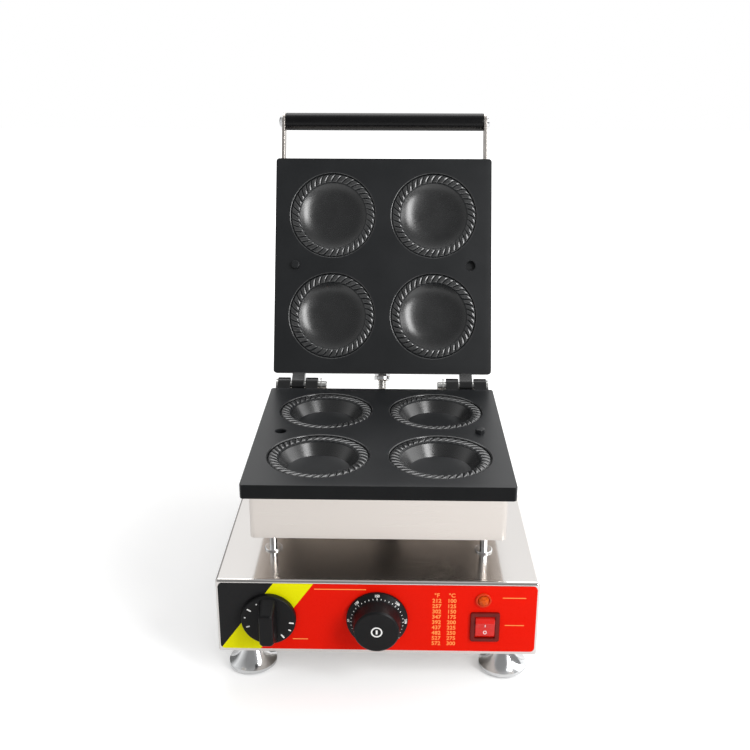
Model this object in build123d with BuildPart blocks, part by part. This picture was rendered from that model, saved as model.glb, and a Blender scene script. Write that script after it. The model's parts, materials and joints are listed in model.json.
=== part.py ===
from build123d import *
import os
from math import atan2, cos, degrees, hypot, radians, sin, tan

# Cabinet, millimetres, Z up, the front face at Y = 0 until the last step
base_width = 250.0
base_depth = 330.0
base_height = 63.6
cabinet_sheet = 1.2
cabinet_bend = 2.4
floor_sheet = 1.2
floor_gap = 0.4
flange_width = 12.0
screw_end = 60.0
screw_r = 2.0
screw_head_r = 3.6
screw_head = 1.8
screw_length = 6.0
panel_inset = 2.0
panel_edge = 2.55
panel_sheet = 0.8
panel_corner = 3.5

# Feet
foot_height = 29.4
foot_rim_r = 19.3
foot_neck_r = 7.8
foot_side_inset = 23.0
foot_end_inset = 26.0
foot_rim_height = 3.4
foot_rim_edge = 0.8
foot_flare_inset = 5.2
foot_flare_rise = 9.4
foot_flare_top = 21.5
pad_r = 16.5
pad_stand_off = 1.6
pad_seat_depth = 2.4
pad_edge = 0.6
foot_stud_r = 4.0
stud_length = 9.0
foot_nut_r = 7.4

# Heating units, each in a frame with its mould face at Z = 0 and the hinge towards +Y
plate_size = 214.0
plate_thickness = 11.9
plate_web = 8.0
plate_rim = 17.0
plate_corner = 3.0
plate_front_y = 24.1
plate_lift = 68.9
plate_gap = 0.5
unit_inset = 6.0
unit_sheet = 1.0
unit_depth = 36.8
unit_corner = 4.0
unit_flange = 8.0

# Moulds
mould_offset = 50.0
mould_r = 32.5
crimp_r = 42.0
crimp_depth = 2.4
cup_depth = 13.0
cup_floor_r = 25.0
dish_depth = 8.5
dish_floor_r = 27.5
boss_top_r = 36.0
boss_foot_r = 30.0
boss_depth = 18.0

# Crimping rings, laid in the recess round each mould
ring_floor = 0.7
lobe_count = 40
lobe_lean = 32.0
lobe_width = 4.2
lobe_crest = 1.6
lobe_height = 1.4
lobe_land = 0.4

# Locating pin and hole
dowel_x = 86.3
dowel_r = 4.0
dowel_height = 4.0
dowel_hole_r = 4.8
dowel_hole_depth = 6.0
dowel_edge = 1.0

# Hinge
pin_back = 12.0
pin_drop = 1.5
pin_r = 4.0
knuckle_r = 7.5
outer_knuckle = (89.5, 101.5)
inner_knuckle = (62.5, 74.5)
lid_knuckle = (76.0, 88.0)
pin_inner_x = 54.0
pin_head_r = 6.0
pin_head = 2.0
pin_edge = 0.6
clip_x = 59.0
clip_r = 7.0
clip_thick = 1.4
clip_mouth = 5.0
clip_groove = 0.6
lid_open = 112.5
heel_low = 10.0
heel_high = 3.0
heel_gap = 0.3
heel_inset = 1.5

# Support rods, and the screws that take their place in the lid
rod_x = 85.3
rod_y = 81.0
rod_r = 3.0
rod_boss_r = 7.0
rod_boss_depth = 26.0
rod_grip = 13.0
washer_r = 7.2
washer_thick = 1.6
nut_height = 5.0
nut_r = 5.8
rod_tail = 2.0
rod_edge = 0.5
bolt_tip_gap = 1.0
cover_head_r = 5.2
cover_head = 2.6

# Heating element, its clamp and the insulation
element_r = 4.0
element_pitch = 50.0
element_bend_y = 55.0
element_end_y = 66.0
terminal_r = 1.6
terminal_length = 11.0
clamp_width = 14.0
clamp_thick = 3.0
clamp_half = 93.0
column_x = 86.0
column_r = 5.0
clamp_bolt_r = 2.5
clamp_head_r = 4.5
clamp_head = 3.2
clamp_bolt_grip = 11.0
wool_thick = 12.0
wool_gap = 0.5
wool_nut_gap = 1.0

# Handle
grip_r = 8.75
grip_reach = 152.0
handle_drop = 27.0
arm_thick = 3.0
arm_width = 18.0
arm_root = 24.0
handle_rod_r = 4.0
handle_screw_r = 2.5
handle_head_r = 6.0
handle_head = 3.4
handle_screw_grip = 12.0
grip_edge = 0.8
arm_screw_ys = (-70.0, -34.0)
arm_head_r = 4.6
arm_head = 2.6
arm_screw_tail = 6.0

# Controls: distance in from the nearer side, and the drop from the cabinet's top
timer_side = 41.0
knob_sag = 0.1
timer_case = 42.0
timer_case_depth = 30.0
timer_case_corner = 5.0
timer_skirt_r = 21.3
timer_skirt = 5.0
timer_skirt_edge = 1.4
timer_grip_width = 13.4
timer_grip_length = 38.6
timer_grip_corner = 4.0
timer_grip_reach = 15.0
timer_top_width = 10.8
timer_top_length = 26.6
timer_top_corner = 3.0
thermostat_case = 38.0
thermostat_case_depth = 30.0
thermostat_case_corner = 3.0
thermostat_skirt_r = 23.8
thermostat_rim = 2.4
thermostat_skirt = 5.4
thermostat_cap_r = 19.0
thermostat_cap_top_r = 17.9
thermostat_cap_edge = 1.2
thermostat_reach = 21.0
badge_r = 4.8
badge_depth = 0.5
bush_r = 4.5
shaft_r = 3.0
shaft_tail = 10.0
shaft_grip = 10.0
knob_gap = 0.5
lamp_side = 43.2
lamp_drop = 14.4
lamp_flange_r = 6.0
lamp_flange = 1.6
lamp_tube_r = 4.9
lamp_lens_r = 4.1
lens_grip = 6.0
lens_well = 8.0
lens_dome = 2.6
lens_edge = 2.4
lamp_nut_r = 7.0
lamp_nut = 3.0
lamp_length = 20.0
switch_side = 41.4
switch_drop = 38.2
bezel_width = 22.7
bezel_height = 25.8
bezel_thick = 2.0
bezel_corner = 2.0
bezel_edge = 0.8
switch_case_width = 19.4
switch_case_height = 22.0
switch_case_depth = 17.0
button_width = 15.0
button_half = 9.3
button_gap = 0.35
button_stand = 0.6
button_pivot_r = 1.5
button_travel = 16.0
pivot_depth = 3.0
trunnion_length = 1.4
trunnion_gap = 0.2

# Capillary thermostat bulb, wiring and glands
bulb_x = 9.5
bulb_r = 2.5
bulb_ends = (-62.0, 30.0)
capillary_r = 1.0
capillary_bend = 12.0
capillary_drop = 18.0
tube_y = 70.0
tube_r = 8.5
tube_wall = 1.5
tube_collar_r = 11.0
tube_collar = 1.2
tube_tail = 4.0
tube_rise = 2.0
conduit_r = 4.0
conduit_drop = 28.0
conduit_run = 34.0
conduit_dip = 24.0
conduit_rise = 8.4
conduit_turn = 30.0
conduit_end = 80.0
conduit_bend = 0.45
gland_r = 8.0
gland_reach = 7.0
gland_thread_r = 5.6
gland_flange_r = 7.2
gland_nut = 3.0
gland_clearance = 0.2
bushing_rise = 4.0
bushing_tail = 4.0
bushing_edge = 1.0
inlet_side = 45.0
inlet_rise = 28.0
inlet_bore_r = 4.0
inlet_r = 9.0
inlet_thread_r = 7.0
inlet_reach = 14.0
inlet_tail = 9.0
inlet_draft = 12.0
inlet_step = 1.2
inlet_nut_r = 10.5
inlet_nut = 4.0
vent_side = 75.0
vent_count = 9
vent_pitch = 10.0
vent_length = 28.0
vent_width = 3.6
terminal_size = (58.0, 20.0, 16.0)
terminal_y = 150.0
terminal_well = (8.0, 7.0, 5.0)
terminal_pitch = (11.0, 10.0)

# Clearances
running_gap = 0.05
seat_gap = 0.1
hole_gap = 0.3

# Derived heights and places
base_bottom = foot_height
base_top = base_bottom + base_height
panel_width = base_width - 2 * panel_inset
panel_height = base_height - 2 * panel_edge
knob_drop = base_height / 2 + knob_sag
timer_x = timer_side - base_width / 2
thermostat_x = 0.0
lamp_x = base_width / 2 - lamp_side
switch_x = base_width / 2 - switch_side
inlet_x = base_width / 2 - inlet_side
vent_x = vent_side - base_width / 2
parting = base_top + plate_lift
plate_half = plate_size / 2
plate_y = plate_front_y + plate_half
pin_y = plate_half + pin_back
unit_half = plate_half - unit_inset
unit_floor = -plate_thickness - unit_depth
element_z = -boss_depth - element_r - hole_gap
clamp_top = element_z - element_r - hole_gap
foot_spots = {
    "front_left": (-1, foot_end_inset),
    "front_right": (1, foot_end_inset),
    "rear_left": (-1, base_depth - foot_end_inset),
    "rear_right": (1, base_depth - foot_end_inset),
}
foot_x = base_width / 2 - foot_side_inset
screw_x = base_width / 2 - cabinet_sheet - flange_width / 2
screw_spots = [(x, y) for x in (-screw_x, screw_x) for y in (screw_end, base_depth - screw_end)]
rod_spots = [(x, y) for x in (-rod_x, rod_x) for y in (-rod_y, rod_y)]

lower_place = Location((0, plate_y, parting))
lid_closed = Location((0, plate_y, parting + plate_gap), (0, 180, 0))
hinge_axis = Axis((0, plate_y + pin_y, parting - pin_drop), (1, 0, 0))

finished = []


def keep(piece, label):
    piece.part.label = label
    finished.append(piece)


def place_lower(piece):
    piece.part = piece.part.moved(lower_place)


def place_lid(piece):
    piece.part = piece.part.moved(lid_closed).rotate(hinge_axis, -lid_open)


def control_plane(x, drop):
    return Plane((x, 0, base_top - drop), x_dir=(1, 0, 0), z_dir=(0, -1, 0))


def rear_plane(x, rise):
    return Plane((x, base_depth, base_bottom + rise), x_dir=(-1, 0, 0), z_dir=(0, 1, 0))


timer_at = control_plane(timer_x, knob_drop)
thermostat_at = control_plane(thermostat_x, knob_drop)
lamp_at = control_plane(lamp_x, lamp_drop)
switch_at = control_plane(switch_x, switch_drop)
inlet_at = rear_plane(inlet_x, inlet_rise)
vents_at = rear_plane(vent_x, base_height / 2)


# The lid's own points, carried to the open pose, as world Y and Z
def open_lid_point(y, z):
    from_pin_y = y - pin_y
    from_pin_z = plate_gap - z + pin_drop
    reach = hypot(from_pin_y, from_pin_z)
    angle = degrees(atan2(from_pin_z, from_pin_y)) - lid_open
    world_y = plate_y + pin_y + reach * cos(radians(angle))
    world_z = parting - pin_drop + reach * sin(radians(angle))
    return world_y, world_z


# The conduit leaves the lid's gland and passes down through the cabinet's bushing
conduit_root = open_lid_point(unit_half - gland_nut, -conduit_drop)
conduit_knee = open_lid_point(unit_half + gland_reach + conduit_run, -conduit_drop)
conduit_y = conduit_knee[0]
conduit_points = [
    conduit_root,
    conduit_knee,
    (conduit_y, base_top - conduit_dip),
    (conduit_y - conduit_turn, base_bottom + floor_sheet + conduit_rise),
    (conduit_y - conduit_end, base_bottom + floor_sheet + conduit_rise),
]

# Folded cabinet, open below, with return flanges for the floor
with BuildPart() as base_housing:
    with BuildSketch(Plane.XY.offset(base_bottom)):
        with Locations((0, base_depth / 2)):
            Rectangle(base_width, base_depth)
    extrude(amount=base_height)
    fillet(base_housing.edges().filter_by(Axis.Z), cabinet_bend)
    fillet(base_housing.faces().sort_by(Axis.Z)[-1].edges(), cabinet_bend)
    offset(amount=-cabinet_sheet, openings=base_housing.faces().sort_by(Axis.Z)[0])
    with BuildSketch(Plane.XY.offset(base_bottom + floor_sheet)):
        with Locations((0, base_depth / 2)):
            Rectangle(base_width - cabinet_sheet, base_depth - 2 * cabinet_bend)
            Rectangle(
                base_width - 2 * (cabinet_sheet + flange_width),
                base_depth,
                mode=Mode.SUBTRACT,
            )
        with Locations(*screw_spots):
            Circle(screw_r + seat_gap, mode=Mode.SUBTRACT)
    extrude(amount=cabinet_sheet)
    with BuildSketch(timer_at, thermostat_at):
        Circle(bush_r + seat_gap)
    extrude(amount=-3 * cabinet_sheet, mode=Mode.SUBTRACT)
    with BuildSketch(lamp_at):
        Circle(lamp_tube_r + seat_gap)
    extrude(amount=-3 * cabinet_sheet, mode=Mode.SUBTRACT)
    with BuildSketch(switch_at):
        Rectangle(switch_case_width + 2 * seat_gap, switch_case_height + 2 * seat_gap)
    extrude(amount=-3 * cabinet_sheet, mode=Mode.SUBTRACT)
    with BuildSketch(inlet_at):
        Circle(inlet_thread_r + seat_gap)
    extrude(amount=-3 * cabinet_sheet, mode=Mode.SUBTRACT)
    with BuildSketch(Plane.XY.offset(base_top)):
        with Locations((0, plate_y)):
            with Locations(*rod_spots):
                Circle(rod_r + seat_gap)
            with Locations((bulb_x, tube_y)):
                Circle(tube_r + seat_gap)
        with Locations((0, conduit_y)):
            Circle(gland_thread_r + seat_gap)
    extrude(amount=-3 * cabinet_sheet, mode=Mode.SUBTRACT)
    with BuildSketch(vents_at):
        with GridLocations(vent_pitch, 0, vent_count, 1):
            SlotOverall(vent_length, vent_width, rotation=90)
    extrude(amount=-3 * cabinet_sheet, mode=Mode.SUBTRACT)
keep(base_housing, "base_housing")

# Cabinet floor
with BuildPart() as base_floor:
    with BuildSketch(Plane.XY.offset(base_bottom)):
        with Locations((0, base_depth / 2)):
            RectangleRounded(
                base_width - 2 * (cabinet_sheet + floor_gap),
                base_depth - 2 * (cabinet_sheet + floor_gap),
                cabinet_bend - cabinet_sheet,
            )
        for side, y in foot_spots.values():
            with Locations((side * foot_x, y)):
                Circle(foot_stud_r + running_gap, mode=Mode.SUBTRACT)
        with Locations(*screw_spots):
            Circle(screw_r + seat_gap, mode=Mode.SUBTRACT)
        with Locations((0, base_depth / 2)):
            with GridLocations(vent_pitch, 2 * vent_length, vent_count, 2):
                SlotOverall(vent_length, vent_width, rotation=90, mode=Mode.SUBTRACT)
    extrude(amount=floor_sheet)
keep(base_floor, "base_floor")

with BuildPart() as floor_screws:
    for x, y in screw_spots:
        with Locations((x, y, base_bottom)):
            Cylinder(screw_head_r, screw_head, align=(Align.CENTER, Align.CENTER, Align.MAX))
            Cylinder(screw_r, screw_length, align=(Align.CENTER, Align.CENTER, Align.MIN))
keep(floor_screws, "floor_screws")

# Flat fascia in front of the cabinet
with BuildPart() as control_panel:
    with BuildSketch(control_plane(0, base_height / 2)):
        RectangleRounded(panel_width, panel_height, panel_corner)
    extrude(amount=panel_sheet)
    with BuildSketch(timer_at, thermostat_at):
        Circle(bush_r + seat_gap)
    extrude(amount=panel_sheet, mode=Mode.SUBTRACT)
    with BuildSketch(lamp_at):
        Circle(lamp_tube_r + seat_gap)
    extrude(amount=panel_sheet, mode=Mode.SUBTRACT)
    with BuildSketch(switch_at):
        Rectangle(switch_case_width + 2 * seat_gap, switch_case_height + 2 * seat_gap)
    extrude(amount=panel_sheet, mode=Mode.SUBTRACT)
keep(control_panel, "control_panel")


# Bell foot turned with its levelling stud, in a frame with Z = 0 on the bench
def bell_foot():
    with BuildPart() as foot:
        with BuildSketch(Plane.XZ):
            with BuildLine():
                flare_foot = (foot_rim_r, pad_stand_off + foot_rim_height)
                flare_head = (foot_neck_r, foot_flare_top)
                Polyline(
                    (0, pad_stand_off),
                    (foot_rim_r - foot_rim_edge, pad_stand_off),
                    (foot_rim_r, pad_stand_off + foot_rim_edge),
                    flare_foot,
                )
                flare_waist = (foot_rim_r - foot_flare_inset, foot_rim_height + foot_flare_rise)
                ThreePointArc(flare_foot, flare_waist, flare_head)
                Polyline(
                    flare_head,
                    (foot_neck_r, foot_height),
                    (foot_stud_r, foot_height),
                    (foot_stud_r, foot_height + stud_length),
                    (0, foot_height + stud_length),
                    (0, pad_stand_off),
                )
            make_face()
        revolve(axis=Axis.Z)
        with BuildSketch(Plane.XY.offset(pad_stand_off)):
            Circle(pad_r + seat_gap)
        extrude(amount=pad_seat_depth, mode=Mode.SUBTRACT)
    return foot


def foot_pad():
    with BuildPart() as pad:
        with BuildSketch():
            Circle(pad_r)
        extrude(amount=pad_stand_off + pad_seat_depth)
        chamfer(pad.edges().group_by(Axis.Z)[0], pad_edge)
    return pad


for spot, (side, y) in foot_spots.items():
    here = Location((side * foot_x, y, 0))
    foot = bell_foot()
    foot.part = foot.part.moved(here)
    keep(foot, f"foot_{spot}")
    pad = foot_pad()
    pad.part = pad.part.moved(here)
    keep(pad, f"foot_pad_{spot}")


# Shaft that turns in a control's body and carries its knob
def control_shaft(at):
    with BuildPart() as shaft:
        with BuildSketch(at.offset(-cabinet_sheet - shaft_tail)):
            Circle(shaft_r)
        extrude(amount=shaft_tail + cabinet_sheet + panel_sheet + knob_gap + shaft_grip)
    return shaft


# Case behind the cabinet's front wall with a bush through the wall and the fascia
def control_body(at, case, depth, corner):
    with BuildPart() as body:
        with BuildSketch(at.offset(-cabinet_sheet - depth)):
            RectangleRounded(case, case, corner)
        extrude(amount=depth)
        with BuildSketch(at.offset(-cabinet_sheet)):
            Circle(bush_r)
        extrude(amount=cabinet_sheet + panel_sheet)
        with BuildSketch(at.offset(panel_sheet)):
            Circle(shaft_r + running_gap)
        extrude(
            amount=-(panel_sheet + cabinet_sheet + shaft_tail + knob_gap),
            mode=Mode.SUBTRACT,
        )
    return body


timer_body = control_body(timer_at, timer_case, timer_case_depth, timer_case_corner)
keep(timer_body, "timer_body")
timer_shaft = control_shaft(timer_at)
keep(timer_shaft, "timer_shaft")

# Timer knob: flat skirt and a wedge-shaped bar grip
knob_back = panel_sheet + knob_gap
with BuildPart() as timer_knob:
    with BuildSketch(timer_at.offset(knob_back)):
        Circle(timer_skirt_r)
    extrude(amount=timer_skirt)
    chamfer(timer_knob.edges().sort_by(Axis.Y)[0], timer_skirt_edge)
    skirt_front = knob_back + timer_skirt
    with BuildSketch(timer_at.offset(skirt_front)):
        RectangleRounded(timer_grip_width, timer_grip_length, timer_grip_corner)
    with BuildSketch(timer_at.offset(skirt_front + timer_grip_reach)):
        RectangleRounded(timer_top_width, timer_top_length, timer_top_corner)
    loft()
    with BuildSketch(timer_at.offset(knob_back)):
        Circle(shaft_r + running_gap)
    extrude(amount=shaft_grip + seat_gap, mode=Mode.SUBTRACT)
keep(timer_knob, "timer_knob")

thermostat_body = control_body(
    thermostat_at, thermostat_case, thermostat_case_depth, thermostat_case_corner
)
keep(thermostat_body, "thermostat_body")
thermostat_shaft = control_shaft(thermostat_at)
keep(thermostat_shaft, "thermostat_shaft")

# Thermostat knob: dished skirt and a drafted round cap with a recessed badge seat
with BuildPart() as thermostat_knob:
    with BuildSketch(Plane.XZ):
        with BuildLine():
            Polyline(
                (0, knob_back),
                (thermostat_skirt_r, knob_back),
                (thermostat_skirt_r, knob_back + thermostat_rim),
                (thermostat_cap_r, knob_back + thermostat_skirt),
                (thermostat_cap_top_r, thermostat_reach - thermostat_cap_edge),
                (thermostat_cap_top_r - thermostat_cap_edge, thermostat_reach),
                (badge_r, thermostat_reach),
                (badge_r, thermostat_reach - badge_depth),
                (0, thermostat_reach - badge_depth),
                close=True,
            )
        make_face()
    revolve(axis=Axis.Z)
    with BuildSketch(Plane.XY.offset(knob_back)):
        Circle(shaft_r + running_gap)
    extrude(amount=shaft_grip + seat_gap, mode=Mode.SUBTRACT)
thermostat_knob.part = thermostat_knob.part.moved(thermostat_at.location)
keep(thermostat_knob, "thermostat_knob")

# Rocker switch: the button rocks on two trunnions in the case
button_front = panel_sheet + bezel_thick + button_stand
with BuildPart() as rocker_housing:
    with BuildSketch(switch_at.offset(-switch_case_depth)):
        Rectangle(switch_case_width, switch_case_height)
    extrude(amount=switch_case_depth + panel_sheet)
    with BuildSketch(switch_at.offset(panel_sheet)):
        RectangleRounded(bezel_width, bezel_height, bezel_corner)
    extrude(amount=bezel_thick)
    chamfer(rocker_housing.edges().group_by(Axis.Y)[0], bezel_edge)
    with BuildSketch(switch_at.offset(panel_sheet + bezel_thick)):
        Rectangle(button_width + 2 * button_gap, 2 * (button_half + button_gap))
    well_depth = panel_sheet + bezel_thick + pivot_depth + button_half + 1
    extrude(amount=-well_depth, mode=Mode.SUBTRACT)
    with BuildSketch(Plane.YZ.offset(switch_x)):
        with Locations((pivot_depth, base_top - switch_drop)):
            Circle(button_pivot_r + running_gap)
    extrude(
        amount=button_width / 2 + trunnion_length + trunnion_gap,
        both=True,
        mode=Mode.SUBTRACT,
    )
keep(rocker_housing, "rocker_housing")

with BuildPart() as rocker_button:
    with BuildSketch(Plane.YZ.offset(switch_x)):
        with Locations((pivot_depth, base_top - switch_drop)):
            Circle(button_half)
        raised = 2 * button_half * tan(radians(button_travel))
        low_z = base_top - switch_drop - button_half
        mid_z = base_top - switch_drop
        top_z = base_top - switch_drop + button_half
        with BuildLine():
            Polyline(
                (-2 * button_half, low_z - 1),
                (-button_front, low_z - 1),
                (-button_front, mid_z),
                (-button_front - raised, mid_z + 2 * button_half),
                (-2 * button_half, mid_z + 2 * button_half),
                close=True,
            )
        make_face(mode=Mode.SUBTRACT)
        with Locations((pivot_depth + button_half, mid_z)):
            Rectangle(button_half, 3 * button_half, mode=Mode.SUBTRACT)
    extrude(amount=button_width / 2, both=True)
    with BuildSketch(Plane.YZ.offset(switch_x)):
        with Locations((pivot_depth, mid_z)):
            Circle(button_pivot_r)
    extrude(amount=button_width / 2 + trunnion_length, both=True)
keep(rocker_button, "rocker_button")

# Lamp: flanged tube with a domed lens pressed into its mouth
with BuildPart() as lamp_body:
    with BuildSketch(lamp_at.offset(-lamp_length)):
        Circle(lamp_tube_r)
    extrude(amount=lamp_length + panel_sheet)
    with BuildSketch(lamp_at.offset(panel_sheet)):
        Circle(lamp_flange_r)
    extrude(amount=lamp_flange)
    with BuildSketch(lamp_at.offset(panel_sheet + lamp_flange)):
        Circle(lamp_lens_r + running_gap)
    extrude(amount=-lens_well, mode=Mode.SUBTRACT)
keep(lamp_body, "lamp_body")

lens_seat = panel_sheet + lamp_flange - lens_grip
with BuildPart() as lamp_lens:
    with BuildSketch(lamp_at.offset(lens_seat)):
        Circle(lamp_lens_r)
    extrude(amount=lens_grip + lens_dome)
    fillet(lamp_lens.edges().sort_by(Axis.Y)[0], lens_edge)
keep(lamp_lens, "lamp_lens")

# Lock nuts inside the cabinet for the feet, the lamp and the mains inlet
with BuildPart() as lock_nuts:
    with BuildSketch(Plane.XY.offset(base_bottom + floor_sheet)):
        for side, y in foot_spots.values():
            with Locations((side * foot_x, y)):
                RegularPolygon(foot_nut_r, 6)
                Circle(foot_stud_r + running_gap, mode=Mode.SUBTRACT)
    extrude(amount=nut_height)
    with BuildSketch(lamp_at.offset(-cabinet_sheet)):
        RegularPolygon(lamp_nut_r, 6)
        Circle(lamp_tube_r + running_gap, mode=Mode.SUBTRACT)
    extrude(amount=-lamp_nut)
    with BuildSketch(inlet_at.offset(-cabinet_sheet)):
        RegularPolygon(inlet_nut_r, 6)
        Circle(inlet_thread_r + running_gap, mode=Mode.SUBTRACT)
    extrude(amount=-inlet_nut)
keep(lock_nuts, "lock_nuts")

# Mains inlet gland on the rear wall
with BuildPart() as power_gland:
    with BuildSketch(inlet_at.offset(-inlet_tail)):
        Circle(inlet_thread_r)
    extrude(amount=inlet_tail)
    with BuildSketch(inlet_at):
        RegularPolygon(inlet_r, 6)
    extrude(amount=inlet_reach / 2)
    with BuildSketch(inlet_at.offset(inlet_reach / 2)):
        Circle(inlet_r - inlet_step)
    extrude(amount=inlet_reach / 2, taper=inlet_draft)
    with BuildSketch(inlet_at.offset(-inlet_tail)):
        Circle(inlet_bore_r)
    extrude(amount=inlet_tail + inlet_reach, mode=Mode.SUBTRACT)
keep(power_gland, "power_gland")

# Terminal block on the cabinet's floor
with BuildPart() as terminal_block:
    with Locations((0, terminal_y, base_bottom + floor_sheet)):
        Box(*terminal_size, align=(Align.CENTER, Align.CENTER, Align.MIN))
    wells = terminal_block.faces().sort_by(Axis.Z)[-1]
    with BuildSketch(Plane(wells)):
        with GridLocations(terminal_pitch[0], terminal_pitch[1], 5, 2):
            Rectangle(terminal_well[0], terminal_well[1])
    extrude(amount=-terminal_well[2], mode=Mode.SUBTRACT)
keep(terminal_block, "terminal_block")


# Heel on the lid's lugs: it stands against the lower plate's back edge when open
def heel_outline():
    open_corners = [
        (-pin_back + heel_gap, -heel_high),
        (-pin_back + heel_gap, -heel_low),
        (-knuckle_r + heel_inset, -heel_low),
        (0, -knuckle_r + heel_inset),
        (-knuckle_r + heel_inset, 0),
    ]
    outline = []
    for y, z in open_corners:
        reach = hypot(y, z)
        angle = atan2(z, y) + radians(lid_open)
        closed_y = pin_y + reach * cos(angle)
        closed_z = plate_gap + pin_drop - reach * sin(angle)
        outline.append((closed_y, closed_z))
    return outline


# Cast plate with four moulds and its hinge lugs, seen from its mould face
def mould_plate(depth, floor_r, lug_spans, pin_z, lug_top, heel):
    lugs = [(low, high) for low, high in lug_spans] + [(-high, -low) for low, high in lug_spans]
    with BuildPart() as plate:
        with BuildSketch():
            RectangleRounded(plate_size, plate_size, plate_corner)
        extrude(amount=-plate_thickness)
        with BuildSketch(Plane.XY.offset(-plate_thickness)):
            Rectangle(plate_size - 2 * plate_rim, plate_size - 2 * plate_rim)
        extrude(amount=plate_thickness - plate_web, mode=Mode.SUBTRACT)
        with GridLocations(2 * mould_offset, 2 * mould_offset, 2, 2):
            with Locations((0, 0, -plate_web)):
                Cone(
                    boss_foot_r,
                    boss_top_r,
                    boss_depth - plate_web,
                    align=(Align.CENTER, Align.CENTER, Align.MAX),
                )
        with BuildSketch(Plane.XY.offset(-plate_web)):
            with Locations(*rod_spots):
                Circle(rod_boss_r)
        extrude(amount=-(rod_boss_depth - plate_web))
        with BuildSketch(Plane.XY.offset(-plate_web)):
            with Locations((-column_x, 0), (0, 0), (column_x, 0)):
                Circle(column_r)
        extrude(amount=clamp_top + plate_web)
        with BuildSketch(Plane.XY.offset(clamp_top)):
            with Locations((-column_x, 0), (0, 0), (column_x, 0)):
                Circle(clamp_bolt_r + running_gap)
        extrude(amount=clamp_bolt_grip, mode=Mode.SUBTRACT)
        with BuildSketch(Plane.XY.offset(-rod_boss_depth)):
            with Locations(*rod_spots):
                Circle(rod_r + running_gap)
        extrude(amount=rod_grip, mode=Mode.SUBTRACT)
        with GridLocations(2 * mould_offset, 2 * mould_offset, 2, 2):
            Cylinder(
                crimp_r,
                crimp_depth,
                align=(Align.CENTER, Align.CENTER, Align.MAX),
                mode=Mode.SUBTRACT,
            )
            with Locations((0, 0, -crimp_depth)):
                Cone(
                    floor_r,
                    mould_r,
                    depth - crimp_depth,
                    align=(Align.CENTER, Align.CENTER, Align.MAX),
                    mode=Mode.SUBTRACT,
                )
        with Locations((dowel_x, 0, 0)):
            Cylinder(dowel_r, dowel_height, align=(Align.CENTER, Align.CENTER, Align.MIN))
        chamfer(plate.edges().filter_by(GeomType.CIRCLE).sort_by(Axis.Z)[-1], dowel_edge)
        with Locations((-dowel_x, 0, 0)):
            Cylinder(
                dowel_hole_r,
                dowel_hole_depth,
                align=(Align.CENTER, Align.CENTER, Align.MAX),
                mode=Mode.SUBTRACT,
            )
        for low, high in lugs:
            with BuildSketch(Plane.YZ.offset(low)):
                with BuildLine():
                    CenterArc((pin_y, pin_z), knuckle_r, 0, 360)
                    Line((plate_half, lug_top), (plate_half, -plate_thickness))
                make_hull()
                if heel:
                    Polygon(*heel, align=None)
                with Locations((pin_y, pin_z)):
                    Circle(pin_r + running_gap, mode=Mode.SUBTRACT)
            extrude(amount=high - low)
    return plate


lower_lugs = (outer_knuckle, inner_knuckle)
lower_plate = mould_plate(cup_depth, cup_floor_r, lower_lugs, -pin_drop, -0.8, None)
place_lower(lower_plate)
keep(lower_plate, "lower_plate")

lid_pin_z = plate_gap + pin_drop
lid_plate = mould_plate(dish_depth, dish_floor_r, (lid_knuckle,), lid_pin_z, -1.5, heel_outline())
place_lid(lid_plate)
keep(lid_plate, "lid_plate")


# Crimping rings: slanted lobes, like a rope's, on a thin ring round each mould
def crimp_rings():
    lean = radians(lobe_lean)
    along = Vector(cos(lean), -sin(lean), 0)
    across = Vector(sin(lean), cos(lean), 0)
    half_land = (crimp_r - mould_r) / 2 - lobe_land
    half_length = (half_land - lobe_width / 2 * sin(lean)) / cos(lean)
    middle = Vector((mould_r + crimp_r) / 2, 0, ring_floor - crimp_depth)
    with BuildPart() as lobe:
        with BuildSketch(Plane(middle - along * half_length, x_dir=across, z_dir=along)):
            with BuildLine():
                Polyline(
                    (-lobe_width / 2, 0),
                    (-lobe_crest / 2, lobe_height),
                    (lobe_crest / 2, lobe_height),
                    (lobe_width / 2, 0),
                    close=True,
                )
            make_face()
        extrude(amount=2 * half_length)
    with BuildPart() as ring:
        with BuildSketch(Plane.XY.offset(-crimp_depth)):
            Circle(crimp_r - seat_gap)
            Circle(mould_r, mode=Mode.SUBTRACT)
        extrude(amount=ring_floor)
        with PolarLocations(0, lobe_count):
            add(lobe.part)
    with BuildPart() as rings:
        with GridLocations(2 * mould_offset, 2 * mould_offset, 2, 2):
            add(ring.part)
    return rings


lower_crimps = crimp_rings()
place_lower(lower_crimps)
keep(lower_crimps, "lower_crimps")

lid_crimps = crimp_rings()
place_lid(lid_crimps)
keep(lid_crimps, "lid_crimps")


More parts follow.
